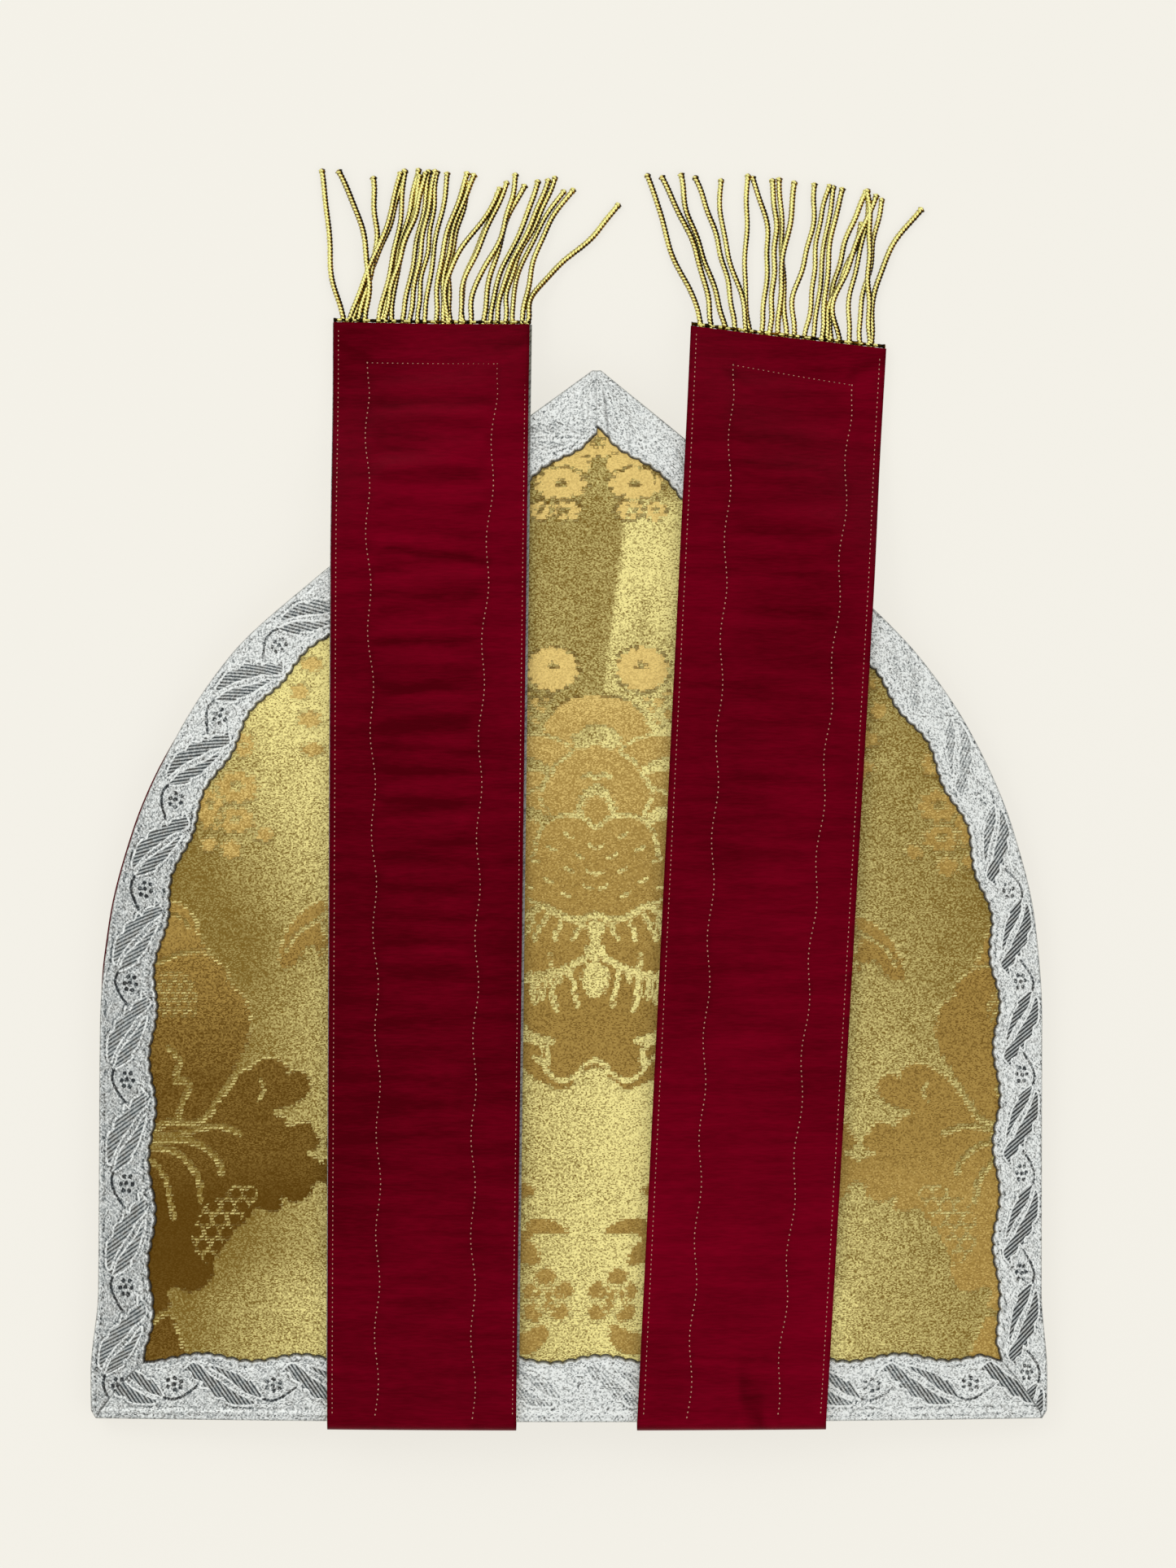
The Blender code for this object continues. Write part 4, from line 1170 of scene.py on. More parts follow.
def add_head_lining(horn):
    """Crimson lining inside the head opening, from the brim up to the gusset's fold."""
    columns, rows, coarse = HEAD_LINING_GRID
    heights = np.linspace(LINING_INSET, FOLD_HEIGHT - FOLD_TURN - GAP, rows)
    x, y = panel_grid(heights, columns, LINING_INSET)
    grid = (x, y, *panel_grid(heights, coarse, LINING_INSET))
    sag = LINING_SAG * np.sin(x / 0.017 + 1.3) * np.sin(y / 0.023) * smooth((0.14 - np.abs(x)) / 0.02)
    base, side, up = (BACK_LINING_Z, 0, 1) if horn == "back" else (FRONT_LINING_Z, 1, -1)
    marks = {"painted_light": np.full(x.shape, PLAIN_PAINTED_LIGHT)}
    parts = horn_sheet(horn, base, LINING_THICK, side, grid, up * LINING_SET_BACK + sag, marks)
    piece = add_piece(f"{horn}_head_lining", parts, "crimson_lining", [f"{horn}_lining"])
    return piece, outline_area(heights, LINING_INSET)


def gusset_surface(columns, skin):
    """Down the front horn, round the fold and up the back, at a depth below the cloth's outer side."""
    climb_rows, turn_rows = GUSSET_ROWS
    climb = np.linspace(FOLD_HEIGHT, PEAK_HEIGHT, climb_rows)
    angle = np.linspace(-np.pi / 2, -3 * np.pi / 2, turn_rows + 2)[1:-1]
    flat = np.zeros(climb_rows)
    height = np.concatenate([climb[::-1], np.full(turn_rows, FOLD_HEIGHT), climb])[:, None]
    back = np.concatenate([flat, (np.sin(angle) + 1) / 2, flat + 1])[:, None]
    forward = np.concatenate([flat, np.cos(angle), flat])[:, None]
    across = np.linspace(-1, 1, columns)[None, :]
    starts = smooth((height - GUSSET_PEEK_FROM) / GUSSET_PEEK_FADE)
    shown = starts * smooth((GUSSET_PEEK_TO - height) / GUSSET_PEEK_FADE)
    x = lean(height) + across * half_width(height) - GUSSET_PEEK * shown * smooth((-0.97 - across) / 0.03)
    y = height + BRIM_Y
    high = BACK_LINING_Z + LINING_THICK + crown(x, y) - skin
    return grid_of(x, y + (FOLD_TURN - skin) * forward, blend(FRONT_LINING_Z + skin, high, back))


def add_gusset():
    """The crimson cloth between the horns, in one folded sheet."""
    outer, inner = (gusset_surface(*side) for side in GUSSET_SIDES)
    parts = [sheet_part(outer, inner, {"painted_light": np.full(outer.shape[:2], PLAIN_PAINTED_LIGHT)})]
    return add_piece("crown_gusset_cloth", parts, "crimson_lining", ["crown_gusset"])


# === Galloon ===

# Where the ribbon's repeat starts along each strip, which way it runs, and how much of its edge is hidden.
BACK_STRIPS = {"left": (2.0, -1.0, 1.8), "right": (20.3, 1.0, 2.9), "bottom": (-115.4, 1.0, -0.5)}
# How far the hand-laid ribbon has crept along the edge, in millimetres by distance from its start.
CREEP = {
    "left": ((50, 0), (100, 2.7)),
    "right": ((95, 3.7), (175, 0.6)),
    "bottom": ((0, 0), (1, 0)),
}
# Painted sheen: how brightly each strip's silver shines, how dark its leaves are: share of the strip, value.
SHINE = {
    "left": ((0, 0.1), (0.35, 0.05), (0.62, 0.6), (0.85, 0.95), (1, 1)),
    "right": ((0, 0.58), (0.42, 0.68), (0.62, 0.94), (1, 1)),
    "bottom": ((0, 0.35), (0.25, 0.5), (0.5, 1), (0.8, 0.75), (1, 0.65)),
}
LEAF_DARKNESS_BY_SHEEN = {
    "left": ((0, 1), (0.45, 1), (0.64, 0.75), (0.85, 0.4), (1, 0.25)),
    "right": ((0, 1), (0.42, 1), (0.55, 0.45), (0.68, 0.22), (1, 0.15)),
    "bottom": ((0, 0.95), (0.25, 0.85), (0.5, 0.35), (0.8, 0.7), (1, 0.9)),
}
# Share of the full pleats over the peak on each side, and height of its lap at the brim in millimetres.
PLEAT_SHARE = {"left": 1.0, "right": 0.7}
CORNER_LAP = {"left": 0.30, "right": 0.45}
# Widths of the painted shadows at seams and edges, and of the rolled edges, in millimetres.
SEAM_SHADOW = 0.35
EDGE_SHADOW = 0.5
EDGE_ROLL = 0.45
# In metres: a strip's clearance at the seam, how soon its width settles, its rim's flare painted as shadow,
# the rim's height, and its least height.
SEAM_CLEARANCE = 0.00002
END_EASE = 0.008
RIM_SHADOW_FLARE = 0.00050
RIM_LIFT = 0.00022
LEAST_LIFT = 0.00015
# The front's strips: how deep the weave is sunk, the most it stands up, and where its back lies.
FRONT_RIBBON_SINK = 0.00025
FRONT_RIBBON_MOST = 0.00124
FRONT_RIBBON_BACK = 0.0002
RIBBON_GRID = {"back": (41, 0.44), "front": (21, 0.9)}


def side_outline(side):
    """Outer edge of a horn from the brim's corner to the peak, with the distance along it and inwards."""
    sign = -1 if side == "left" else 1
    heights = np.linspace(0.0, PEAK_HEIGHT, 900)
    outer = np.stack([lean(heights) + sign * half_width(heights), heights + BRIM_Y], axis=1)
    blunt = np.linspace(0, 1, 12)[1:, None]
    outer = np.concatenate([outer, outer[-1:] + ([PEAK_X, outer[-1, 1]] - outer[-1:]) * blunt])
    run = run_along(outer)
    tangent = np.gradient(outer, run, axis=0)
    tangent[:30] = tangent[30]
    tangent /= np.linalg.norm(tangent, axis=1)[:, None]
    inward = np.stack([-sign * tangent[:, 1], sign * tangent[:, 0]], axis=1)
    return outer, run, inward


def beside_edge(side, at, inwards):
    """X and Y of places at a distance along a horn's edge and in from it."""
    if side == "bottom":
        return at, BRIM_Y + inwards
    outer, along, normal = side_outline(side)
    return [np.interp(at, along, outer[:, k]) + inwards * np.interp(at, along, normal[:, k]) for k in (0, 1)]


def corner_seam(side, u):
    """Where the galloon of a side meets the brim's: X and height above the brim, by share of the width."""
    x, y = beside_edge(side, u * BORDER_WIDTH["bottom"], u * BORDER_WIDTH[side])
    return x, y - BRIM_Y


def strip_plan(side, columns, pitch):
    """Distance along a galloon strip from corner to corner, in rows of a pitch, and share of its width."""
    u = across_of(columns)
    if side == "bottom":
        start, end = (corner_seam(name, u)[0] for name in ("left", "right"))
        longest = end[0, 0] - start[0, 0]
    else:
        outer, along, inward = side_outline(side)
        sign = -1 if side == "left" else 1
        inset = inward[:, 0, None] * u * BORDER_WIDTH[side]
        reach = sign * (outer[:, 0, None] + inset - PEAK_X) - SEAM_CLEARANCE
        last = np.argmax(reach < 0, axis=0)
        last = np.where((reach < 0).any(axis=0), last, len(along) - 1)
        column = np.arange(columns)
        high, low = reach[last, column], reach[last - 1, column]
        share = np.clip(low / np.maximum(low - high, 1e-12), 0, 1)
        end = blend(along[last - 1], along[last], share)[None, :]
        start = u * BORDER_WIDTH["bottom"] + SEAM_CLEARANCE
        longest = end.max()
    return blend(start, end, down_of(round(float(longest) / pitch) + 1)), u


def seam_relief(side, from_start, to_end, w):
    """Folds where strips meet, in millimetres: a pleat over the peak, and a lap at the brim's corners."""
    if side == "bottom":
        return -0.15 * bump(np.minimum(from_start, to_end), 1.5)
    pleat = 0.55 * bump(to_end - 1.6 - 0.10 * w, 1.3) - 0.30 * bump(to_end - 4.4, 1.0)
    pleat += 0.28 * bump(to_end - 7.2 + 0.12 * w, 1.1)
    return pleat * PLEAT_SHARE[side] + CORNER_LAP[side] * bump(from_start, 2.6)


def widened(values):
    """An array with its last column once more."""
    return np.concatenate([values, values[:, -1:]], axis=1)


def strip_part(horn, side):
    """One strip of galloon round a horn: its profile, with relief, carried along the edge."""
    columns, pitch = RIBBON_GRID[horn]
    run, u = strip_plan(side, columns, pitch * MM)
    start, direction, hidden = BACK_STRIPS[side]
    if horn == "front":
        start, direction = 0.0, -direction
    s = direction * (run / MM - start - curve_at(CREEP[side], run / MM))
    depth = ribbon_depth(s, BORDER_WIDTH[side] / MM) * MM
    ease = smooth((run.max(axis=0) - run) / END_EASE) * smooth((run - run.min(axis=0)) / END_EASE)
    meeting = u * BORDER_WIDTH[side]
    if side == "bottom":
        low, high = (corner_seam(name, u)[1] for name in ("left", "right"))
        meeting = np.where(run < 0, low, high)
    w = blend(meeting, u * depth, ease)
    at, flare = widened(run), widened(w)
    # The last column flares past the rim: a sheet painted dark as the contact shadow.
    flare[:, -1] += RIM_SHADOW_FLARE
    x, y = beside_edge(side, at, flare)
    halves = across_of(3)
    low_x, low_y = beside_edge(side, blend(at[:, :1], at[:, -1:], halves), halves * flare[:, -1:])

    w = w / MM
    true_w = w * (1.2 if side == "right" else 1.0) + hidden
    rim = np.maximum(w[:, -1:] - w, 0)
    leaf, line = ribbon_fields(s, true_w)
    from_start, to_end = (run - run[:1]) / MM, (run[-1:] - run) / MM
    if side != "bottom":
        leaf = np.maximum(leaf, 1.4 - 0.5 * to_end)
    height = ribbon_relief(leaf, line, true_w + min(0, EDGE_CORD - hidden), rim)
    height = height + seam_relief(side, from_start, to_end, w)
    roll = 0.5 * (1 - smooth(w / EDGE_ROLL)) + 0.35 * (1 - smooth(rim / EDGE_ROLL))
    lift = widened(GALLOON_THICK + (height - roll) * MM)
    lift[:, -1] = RIM_LIFT
    if side != "bottom" or horn == "back":
        lift = np.maximum(lift, LEAST_LIFT)

    # Painted shadow at the outer edge and seams, a dark line at the rim, and along the pleat at the peak.
    seam = np.minimum(from_start, to_end)
    shade = np.maximum(0.45 * (1 - smooth(w / EDGE_SHADOW)), 0.30 * (1 - smooth(seam / SEAM_SHADOW)))
    shade[:, -1] = 0.75
    if side == "right":
        fold = bump(to_end - 1.2 - 0.28 * w, 0.45)
        shade = np.maximum(shade, 0.55 * fold * smooth((w - 3) / 2))
    share = (run - run.min()) / (run.max() - run.min())
    painted_sheens = (curve_at(table[side], share) for table in (SHINE, LEAF_DARKNESS_BY_SHEEN))
    marks = ribbon_marks(s, true_w, leaf, line, rim, shade, *painted_sheens)
    marks = {name: widened(values) for name, values in marks.items()}
    # The flare is painted full shadow.
    marks["ribbon_lines_and_shade"][:, -1, 2] = 1.0
    if horn == "back":
        shown = grid_of(x, y, BACK_BORDER_Z + crown(x, y) + lift)
        hidden_side = grid_of(low_x, low_y, BACK_BORDER_Z + crown(low_x, low_y))
    else:
        base = FRONT_BORDER_Z + GALLOON_THICK
        shown = grid_of(x, y, base + FRONT_RIBBON_SINK - np.minimum(lift, FRONT_RIBBON_MOST))
        hidden_side = grid_of(low_x, low_y, base + FRONT_RIBBON_BACK)
    return sheet_part(shown, hidden_side, marks)


def add_strip(horn, side):
    """One galloon strip as a piece."""
    return add_piece(f"{horn}_galloon_{side}", [strip_part(horn, side)], "silver_galloon",
                     [f"{horn}_border_{side}"])


# === Lappets ===

LINING_GRID = (53, 300)
FACE_GRID = (41, 150)
HIDDEN_COLUMNS = 5
TAB_ROWS = 6
TURN_ROWS = 7
LINING_BASE = GAP + FACE_THICK + GAP
FACE_PATTERN_TOP = 0.330
# Painted sheen of the lappets' damask, even all over.
FACE_SHEEN = (0.75, 0.5, 0.0)
# Columns, rows of a long strip and rows of the end strip.
LAPPET_RIBBON_GRID = (17, 200, 60)
# The most that its weave stands up, in millimetres, and how deep it is sunk, in metres.
LAPPET_RELIEF_MOST = 0.28
LAPPET_RIBBON_SINK = 0.00022


def lappet_x(side, across, along):
    """X across a lappet, 0 to 1 from its left edge, and 0 to 1 from the brim to its end."""
    at = LAPPETS[side]
    left, right = (blend(brim, end, along) for brim, end in zip(at["brim"], at["end"]))
    return blend(left, right, across)


def lappet_end_y(side, across):
    """Y of the lappet's end edge."""
    return blend(*LAPPETS[side]["corner_y"], across)


def lappet_share(side, across, y):
    """How far from the brim to a lappet's end a place is, 0 to 1."""
    return (y - BRIM_Y) / (lappet_end_y(side, across) - BRIM_Y)


def lappet_end_width(side):
    """Width of the lappet at its end."""
    return LAPPETS[side]["end"][1] - LAPPETS[side]["end"][0]


def lappet_base_z(x, y):
    """Height that the lappet's layers stack on: over the back, then falling to the surface past it."""
    past = smooth((y - outline_top_y(x) - DROP_START) / DROP_LENGTH)
    return blend(MITRE_TOP_Z + crown(x, y), LAPPET_REST_Z, past)


def lappet_rise(y):
    """How much higher a lappet lies once it is past its own galloon at the brim."""
    return RISE * smooth((y - RISE_FROM) / (RISE_TO - RISE_FROM))


def lappet_layer(side, columns, rows, offset, insets, relief=False):
    """A surface of a lappet at a distance from the brim's stack, from its tab round the brim to its end.

    With relief, the upper run has the lining's ripples and dents.
    """
    across, along = across_of(columns), down_of(rows)
    x_top = lappet_x(side, across, along)
    y_top = blend(BRIM_Y, lappet_end_y(side, across), along)
    z_top = lappet_base_z(x_top, y_top) + offset + lappet_rise(y_top)
    if relief:
        z_top = z_top + lining_lift(side, x_top, y_top, across)
    angle = np.linspace(0, np.pi / 2, TURN_ROWS)[:, None]
    x_turn = lappet_x(side, across, 0.0) + 0 * angle
    y_turn = BRIM_Y - offset * np.cos(angle)
    above = crown(x_turn, BRIM_Y)
    upper_turn = grid_of(x_turn, y_turn, MITRE_TOP_Z + above + offset * np.sin(angle))[:-1]
    lower_turn = grid_of(x_turn, y_turn, BACK_LINING_Z + above - offset * np.sin(angle))[::-1]
    tab_y = np.linspace(BRIM_Y + TAB_LENGTH, BRIM_Y, TAB_ROWS)[:-1, None]
    tab = grid_of(x_turn[:1], tab_y, BACK_LINING_Z + crown(x_turn[:1], tab_y) - offset)
    surface = np.concatenate([tab, lower_turn, upper_turn, grid_of(x_top, y_top, z_top)])
    surface[..., 0] += insets[0] * (1 - across) - insets[1] * across
    return surface


# Soft marks pressed into a lining: middle, half width and height, turn, and depth, in millimetres.
DENTS = {
    "left": (
        (-45, 300, 16, 3.5, 0.05, 0.5), (-40, 286, 14, 3, -0.04, -0.4), (-48, 262, 15, 3.2, 0.03, 0.45),
        (-38, 240, 13, 3, -0.06, -0.4), (-46, 219, 15, 3.4, 0.04, 0.35), (-44, 192, 15, 3, 0, 0.35),
        (-46, 168, 14, 3, 0.03, -0.3),
    ),
    "right": (
        (72, 296, 15, 3.6, -0.08, 0.4), (66, 270, 14, 3.2, -0.05, -0.3), (64, 236, 15, 3, -0.06, 0.3),
        (92, 318, 5, 3, 0.6, 0.7), (57, -3, 9, 3.6, -1.1, 0.7),
    ),
}
# Ripples across a lining: length, phase, slant and share of the height, and how strong they are by height.
RIPPLES = ((13, 0.4, 0.03, 0.5), (19.5, 2.1, -0.05, 0.35), (8.6, 1.1, 0.06, 0.28))
RIPPLE_BY_HEIGHT = ((-10, 0.1), (60, 0.22), (140, 0.7), (250, 1), (318, 0.9), (326, 0.1))
RIPPLE_STRENGTH = {"left": 1.0, "right": 0.55}

# Painted sheen of the satin by height, half being plain, and how much less of it a left edge has.
LINING_PAINTED_SHEEN = {
    "left": (
        (-12, 0.78), (20, 0.74), (60, 0.56), (110, 0.38), (150, 0.44), (200, 0.62), (250, 0.78),
        (335, 0.68),
    ),
    "right": (
        (-12, 0.8), (40, 0.94), (90, 0.76), (140, 0.62), (235, 0.62), (270, 0.76), (320, 0.76), (335, 0.64),
    ),
}
LINING_PAINTED_SHEEN_ACROSS = {"left": 0.14, "right": 0.04}
# How strongly the ripples' slopes are painted as sheen and shade.
RIPPLE_SHEEN = 0.8
# Painted creases, shade with a light lower lip: middle, half length, slope, thickness, and how dark.
PAINTED_CREASES = {
    "left": (
        (-43, 308.8, 18, 0, 1.3, 0.34), (-53, 298.4, 9, -0.03, 1.4, 0.26), (-53, 294.2, 8, -0.1, 0.8, 0.22),
        (-37, 288.2, 11, -0.05, 1.2, 0.16), (-42, 261, 17, -0.12, 1.2, 0.42), (-56, 256, 5, -0.1, 1, 0.3),
        (-50, 248.4, 11, -0.04, 1.2, 0.28), (-44, 240.6, 17, -0.02, 1, 0.14), (-44, 234, 17, 0.02, 1, 0.14),
        (-45, 219.4, 17, -0.05, 1.3, 0.34), (-44, 200.4, 17, -0.05, 1.2, 0.24),
        (-44, 193, 16, -0.03, 1, 0.2), (-45, 184.2, 16, -0.04, 1.2, 0.22),
        (-45, 171.4, 16, -0.04, 1.2, 0.26), (-46, 156.2, 14, 0.02, 1, 0.14),
        (-46, 139.6, 14, -0.02, 1.1, 0.22), (-45, 125.2, 14, 0.03, 1, 0.12),
        (-45, 115, 14, -0.04, 1.1, 0.2), (-69, 326, 7, -0.5, 1.6, 0.36), (-19, 327, 6, 0.45, 1.8, 0.34),
        (-68, 286.5, 7, 0.12, 1, 0.16),
    ),
    "right": (
        (69, 297.6, 17, -0.05, 1.6, 0.14), (66, 289, 16, -0.08, 1.3, 0.26), (74, 281, 9, -0.1, 0.7, 0.16),
        (66, 267.4, 16, -0.05, 1.2, 0.12), (64, 255.6, 16, -0.04, 1.2, 0.14), (52, 318, 6, -0.5, 1.6, 0.2),
        (94, 321, 6, 0.4, 1.6, 0.26), (50, 10.2, 15, -0.06, 1, 0.22), (56.5, -3.4, 8, -1.8, 3.4, 0.5),
        (52, 34.6, 7, -0.04, 0.7, 0.12),
    ),
}
# How far below a painted crease its painted light lip is, and how strong.
PAINTED_CREASE_LIP = (1.7, 0.45)
# The most sheen painted from a slope, and the painted shade beside stitched lines and along the edges.
SLOPE_SHEEN_LIMIT = 0.30
LINE_SHADE = 0.16
SELVAGE_SHADE = 0.40

# Lines of stitches down each lining, as X and Y in millimetres from the end to the brim.
WAVY_LINES = {
    "left": (
        ((-64.0, 322.0), (-63.2, 257.0), (-61.9, 205.6), (-61.2, 154.2), (-59.9, 77.1), (-60.7, -8.5)),
        ((-22.9, 321.0), (-26.0, 257.0), (-28.0, 205.6), (-29.3, 128.5), (-30.3, 77.1), (-30.3, -8.5)),
    ),
    "right": (
        ((51.1, 321.0), (47.0, 222.0), (43.6, 145.0), (40.2, 65.0), (36.6, -8.5)),
        ((88.7, 315.0), (82.5, 230.0), (75.8, 145.0), (69.5, 60.0), (64.2, -8.5)),
    ),
}
WAVY_LINE_END = 322
WAVE_SIZE = 0.7
STITCH_GROOVE = 0.22
EDGE_LINE_IN = 1.9


def wavy_line(points, step):
    """A stitched line: through its points, swinging from side to side with the galloon's repeat."""
    curve = rounded(points, False, 12)
    run = run_along(curve)
    at = np.arange(0, run[-1], step)
    x, y = (np.interp(at, run, curve[:, k]) for k in (0, 1))
    return np.stack([x + WAVE_SIZE * np.sin(2 * np.pi * at / RIBBON_REPEAT) * smooth(at / 12), y], axis=1)


def stitched_at(side, y):
    """X of both wavy lines of a lining at heights, in millimetres."""
    lines = [wavy_line(points, 3.0) for points in WAVY_LINES[side]]
    return [np.interp(y, line[::-1, 1], line[::-1, 0]) for line in lines]


def from_selvage(side, across):
    """Distance from the nearer long edge of a lappet, in millimetres."""
    width = lappet_x(side, 1.0, 0.5) - lappet_x(side, 0.0, 0.5)
    return np.minimum(across, 1 - across) * width / MM


def lining_painted_light(side, x, y, across):
    """Painted sheen and shade of a lining: by height and across, ripples' slopes, creases, grooves, dark
    edges.
    """
    mx, my = x / MM, y / MM
    painted_light = curve_at(LINING_PAINTED_SHEEN[side], my) + LINING_PAINTED_SHEEN_ACROSS[side] * (smooth(across / 0.5) - 1)
    above, below = (lining_lift(side, x, y + half, across) for half in (MM / 2, -MM / 2))
    painted_light = painted_light - SLOPE_SHEEN_LIMIT * np.tanh(RIPPLE_SHEEN * (above - below) / MM / SLOPE_SHEEN_LIMIT)
    for px, py, half_long, slope, thick, dark in PAINTED_CREASES[side]:
        off = (my - py - slope * (mx - px)) / thick / math.hypot(1, slope) + 0.35 * np.sin(mx / 3.1 + py)
        reach = smooth((half_long - np.hypot(mx - px, slope * (mx - px))) / 5 + 0.5)
        painted_light = painted_light - dark * reach * (bump(off) - PAINTED_CREASE_LIP[1] * bump(off + PAINTED_CREASE_LIP[0]))
    for line in stitched_at(side, my):
        painted_light = painted_light - LINE_SHADE * bump(mx - line - 0.3, 0.6) * (my < WAVY_LINE_END)
    return painted_light - SELVAGE_SHADE * bump(from_selvage(side, across), 0.6)


def lining_lift(side, x, y, across):
    """Relief of a lappet's lining: ripples between the stitched lines, dents and stitched grooves."""
    mx, my = x / MM, y / MM
    left, right = stitched_at(side, my)
    inside = smooth((mx - left) / 6) * smooth((right - mx) / 6)
    strongest = np.interp(my, *np.transpose(RIPPLE_BY_HEIGHT))
    wave = 0
    for length, phase, slant, share in RIPPLES:
        swing = phase + 0.9 * np.sin(mx / 11 + length)
        wave = wave + share * np.sin(2 * np.pi * (my + slant * mx) / length + swing)
    height = bpy.context.scene.mitre_sizes.ripple_height * RIPPLE_STRENGTH[side]
    relief = height * strongest * inside * wave
    for px, py, wide, high, turn, depth in DENTS[side]:
        c, s = math.cos(turn), math.sin(turn)
        u = ((mx - px) * c + (my - py) * s) / wide
        v = ((my - py) * c - (mx - px) * s) / high
        relief = relief - depth * MM * np.exp(-(u ** 2) - v ** 2)
    for line in (left, right):
        relief = relief - STITCH_GROOVE * MM * bump(mx - line, 1.1) * (my < WAVY_LINE_END)
    edge = from_selvage(side, across)
    relief = relief - 0.30 * MM * (1 - smooth(edge / 1.3)) - 0.12 * MM * bump(edge - EDGE_LINE_IN, 0.5)
    return relief * smooth((y - BRIM_Y) / 0.006)


def lappet_flat(side):
    """Flat width and length of a lappet's cloth, from its tab round the brim to its end."""
    brim, end, corner_y = (LAPPETS[side][name] for name in ("brim", "end", "corner_y"))
    width = (brim[1] - brim[0] + end[1] - end[0]) / 2
    return width, TAB_LENGTH + (MITRE_TOP_Z - BACK_LINING_Z) + sum(corner_y) / 2 - BRIM_Y


def add_lining(side):
    """Crimson lining of a lappet, turned up here."""
    columns, rows = LINING_GRID
    insets = LAYER_INSETS[side]["lining"]
    shown = lappet_layer(side, columns, rows, LINING_BASE + LINING_THICK, insets, relief=True)
    hidden = lappet_layer(side, HIDDEN_COLUMNS, rows, LINING_BASE, insets)
    painted_light = lining_painted_light(side, shown[..., 0], shown[..., 1], across_of(columns))
    return add_piece(f"lappet_{side}_satin", [sheet_part(shown, hidden, {"painted_light": painted_light})], "crimson_lining",
                     [f"lappet_{side}_lining"])


def add_face(side):
    """Damask face of a lappet, turned down here, with the centre of the pattern down its middle."""
    columns, rows = FACE_GRID
    insets = LAYER_INSETS[side]["face"]
    shown = lappet_layer(side, columns, rows, GAP, insets)
    hidden = lappet_layer(side, HIDDEN_COLUMNS, rows, GAP + FACE_THICK, insets)
    middle = shown[:, columns // 2]
    y = (FACE_PATTERN_TOP - run_along(middle))[:, None] / MM
    x = (shown[..., 0] - middle[:, :1]) / MM + mirror_x(y)
    marks = damask_fields(x, y + 0 * x)
    marks["figure"][..., 2] *= -1
    marks["line"][..., 2] *= -1
    marks["sheen"] = np.full((*x.shape, 3), FACE_SHEEN)
    return add_piece(f"lappet_{side}_damask", [sheet_part(shown, hidden, marks)], "gold_damask",
                     [f"lappet_{side}_face"])


def lappet_strip(side, strip):
    """One strip of the galloon round a lappet's face, mitred at the end's corners."""
    columns, rows, end_rows = LAPPET_RIBBON_GRID
    u = across_of(columns)
    width, inset = lappet_end_width(side), u * LAPPET_GALLOON_WIDTH
    if strip == "end":
        t = down_of(end_rows)
        across = blend(inset, width - inset, t) / width
        run = across * width
        y = lappet_end_y(side, across) - inset
    else:
        t = down_of(rows)
        edge = 0 if strip == "left" else 1
        run = y = blend(RISE_TO, lappet_end_y(side, edge) - inset, t)
        across = (inset + LAYER_INSETS[side]["galloon"][edge] * (1 - u)) / width
        across = 1 - across if edge else across
    x = lappet_x(side, across, lappet_share(side, across, y))
    s, w, rim = np.broadcast_arrays(run / MM, inset / MM, (LAPPET_GALLOON_WIDTH - inset) / MM)
    leaf, line = ribbon_fields(s, w + 1.8)
    relief = np.minimum(ribbon_relief(leaf, line, w + 1.8, rim), LAPPET_RELIEF_MOST) * MM
    top = lappet_base_z(x, y) + lappet_rise(y)
    shown = grid_of(x, y, top - GALLOON_THICK + LAPPET_RIBBON_SINK - relief)
    hidden = grid_of(x, y, top)[:, ::(columns - 1) // 2]
    # Painted shade along the galloon's outer edge, and a fixed painted sheen and leaf darkness.
    marks = ribbon_marks(s, w + 1.8, leaf, line, rim, 0.65 * (1 - smooth(w)), 0.7, 0.9)
    return sheet_part(shown, hidden, marks)


def add_lappet_galloon(side):
    """Galloon round the face of a lappet: two long strips and one across the end."""
    parts = [lappet_strip(side, strip) for strip in ("left", "right", "end")]
    return add_piece(f"lappet_{side}_galloon", parts, "silver_galloon", [f"lappet_{side}_border"])


# === Stitches ===

STITCH_RADIUS = 0.00020
STITCH_SIDES = 6
# Places along a stitch from its middle to its ends, and its thickness there.
STITCH_RINGS = ((-1, 0.15), (-0.6, 0.85), (0, 1), (0.6, 0.85), (1, 0.15))
# The rows of stitches: height above the cloth, length, and share of the radius.
STITCHES = {"wavy": (0.00006, 0.00055, 1.0), "edge": (0.00004, 0.0006, 0.8), "end": (0.00003, 0.0005, 0.6)}


def lining_top(side, x, y):
    """Z of a lining's upper side at places in metres."""
    left, right = (lappet_x(side, edge, lappet_share(side, 0.5, y)) for edge in (0, 1))
    base = lappet_base_z(x, y) + LINING_BASE + LINING_THICK + lappet_rise(y)
    return base + lining_lift(side, x, y, (x - left) / (right - left))


def stitch_row(points, length, radius):
    """Short capsules laid along a line of points, one at each point, in the direction of the line."""
    tangent = np.gradient(points[:, :2], axis=0)
    tangent /= np.linalg.norm(tangent, axis=1)[:, None]
    sideways = np.stack([-tangent[:, 1], tangent[:, 0]], axis=1)
    angle = np.linspace(0, 2 * np.pi, STITCH_SIDES, endpoint=False)
    along, swell = (column[None, :, None, None] for column in np.transpose(STITCH_RINGS))
    plan = points[:, None, None, :2] + along * length / 2 * tangent[:, None, None, :]
    plan = plan + swell * radius * np.cos(angle)[None, None, :, None] * sideways[:, None, None, :]
    z = points[:, None, None, 2:] + swell * radius * np.sin(angle)[None, None, :, None]
    return tubes(np.concatenate([plan, z + 0 * plan[..., :1]], axis=-1))


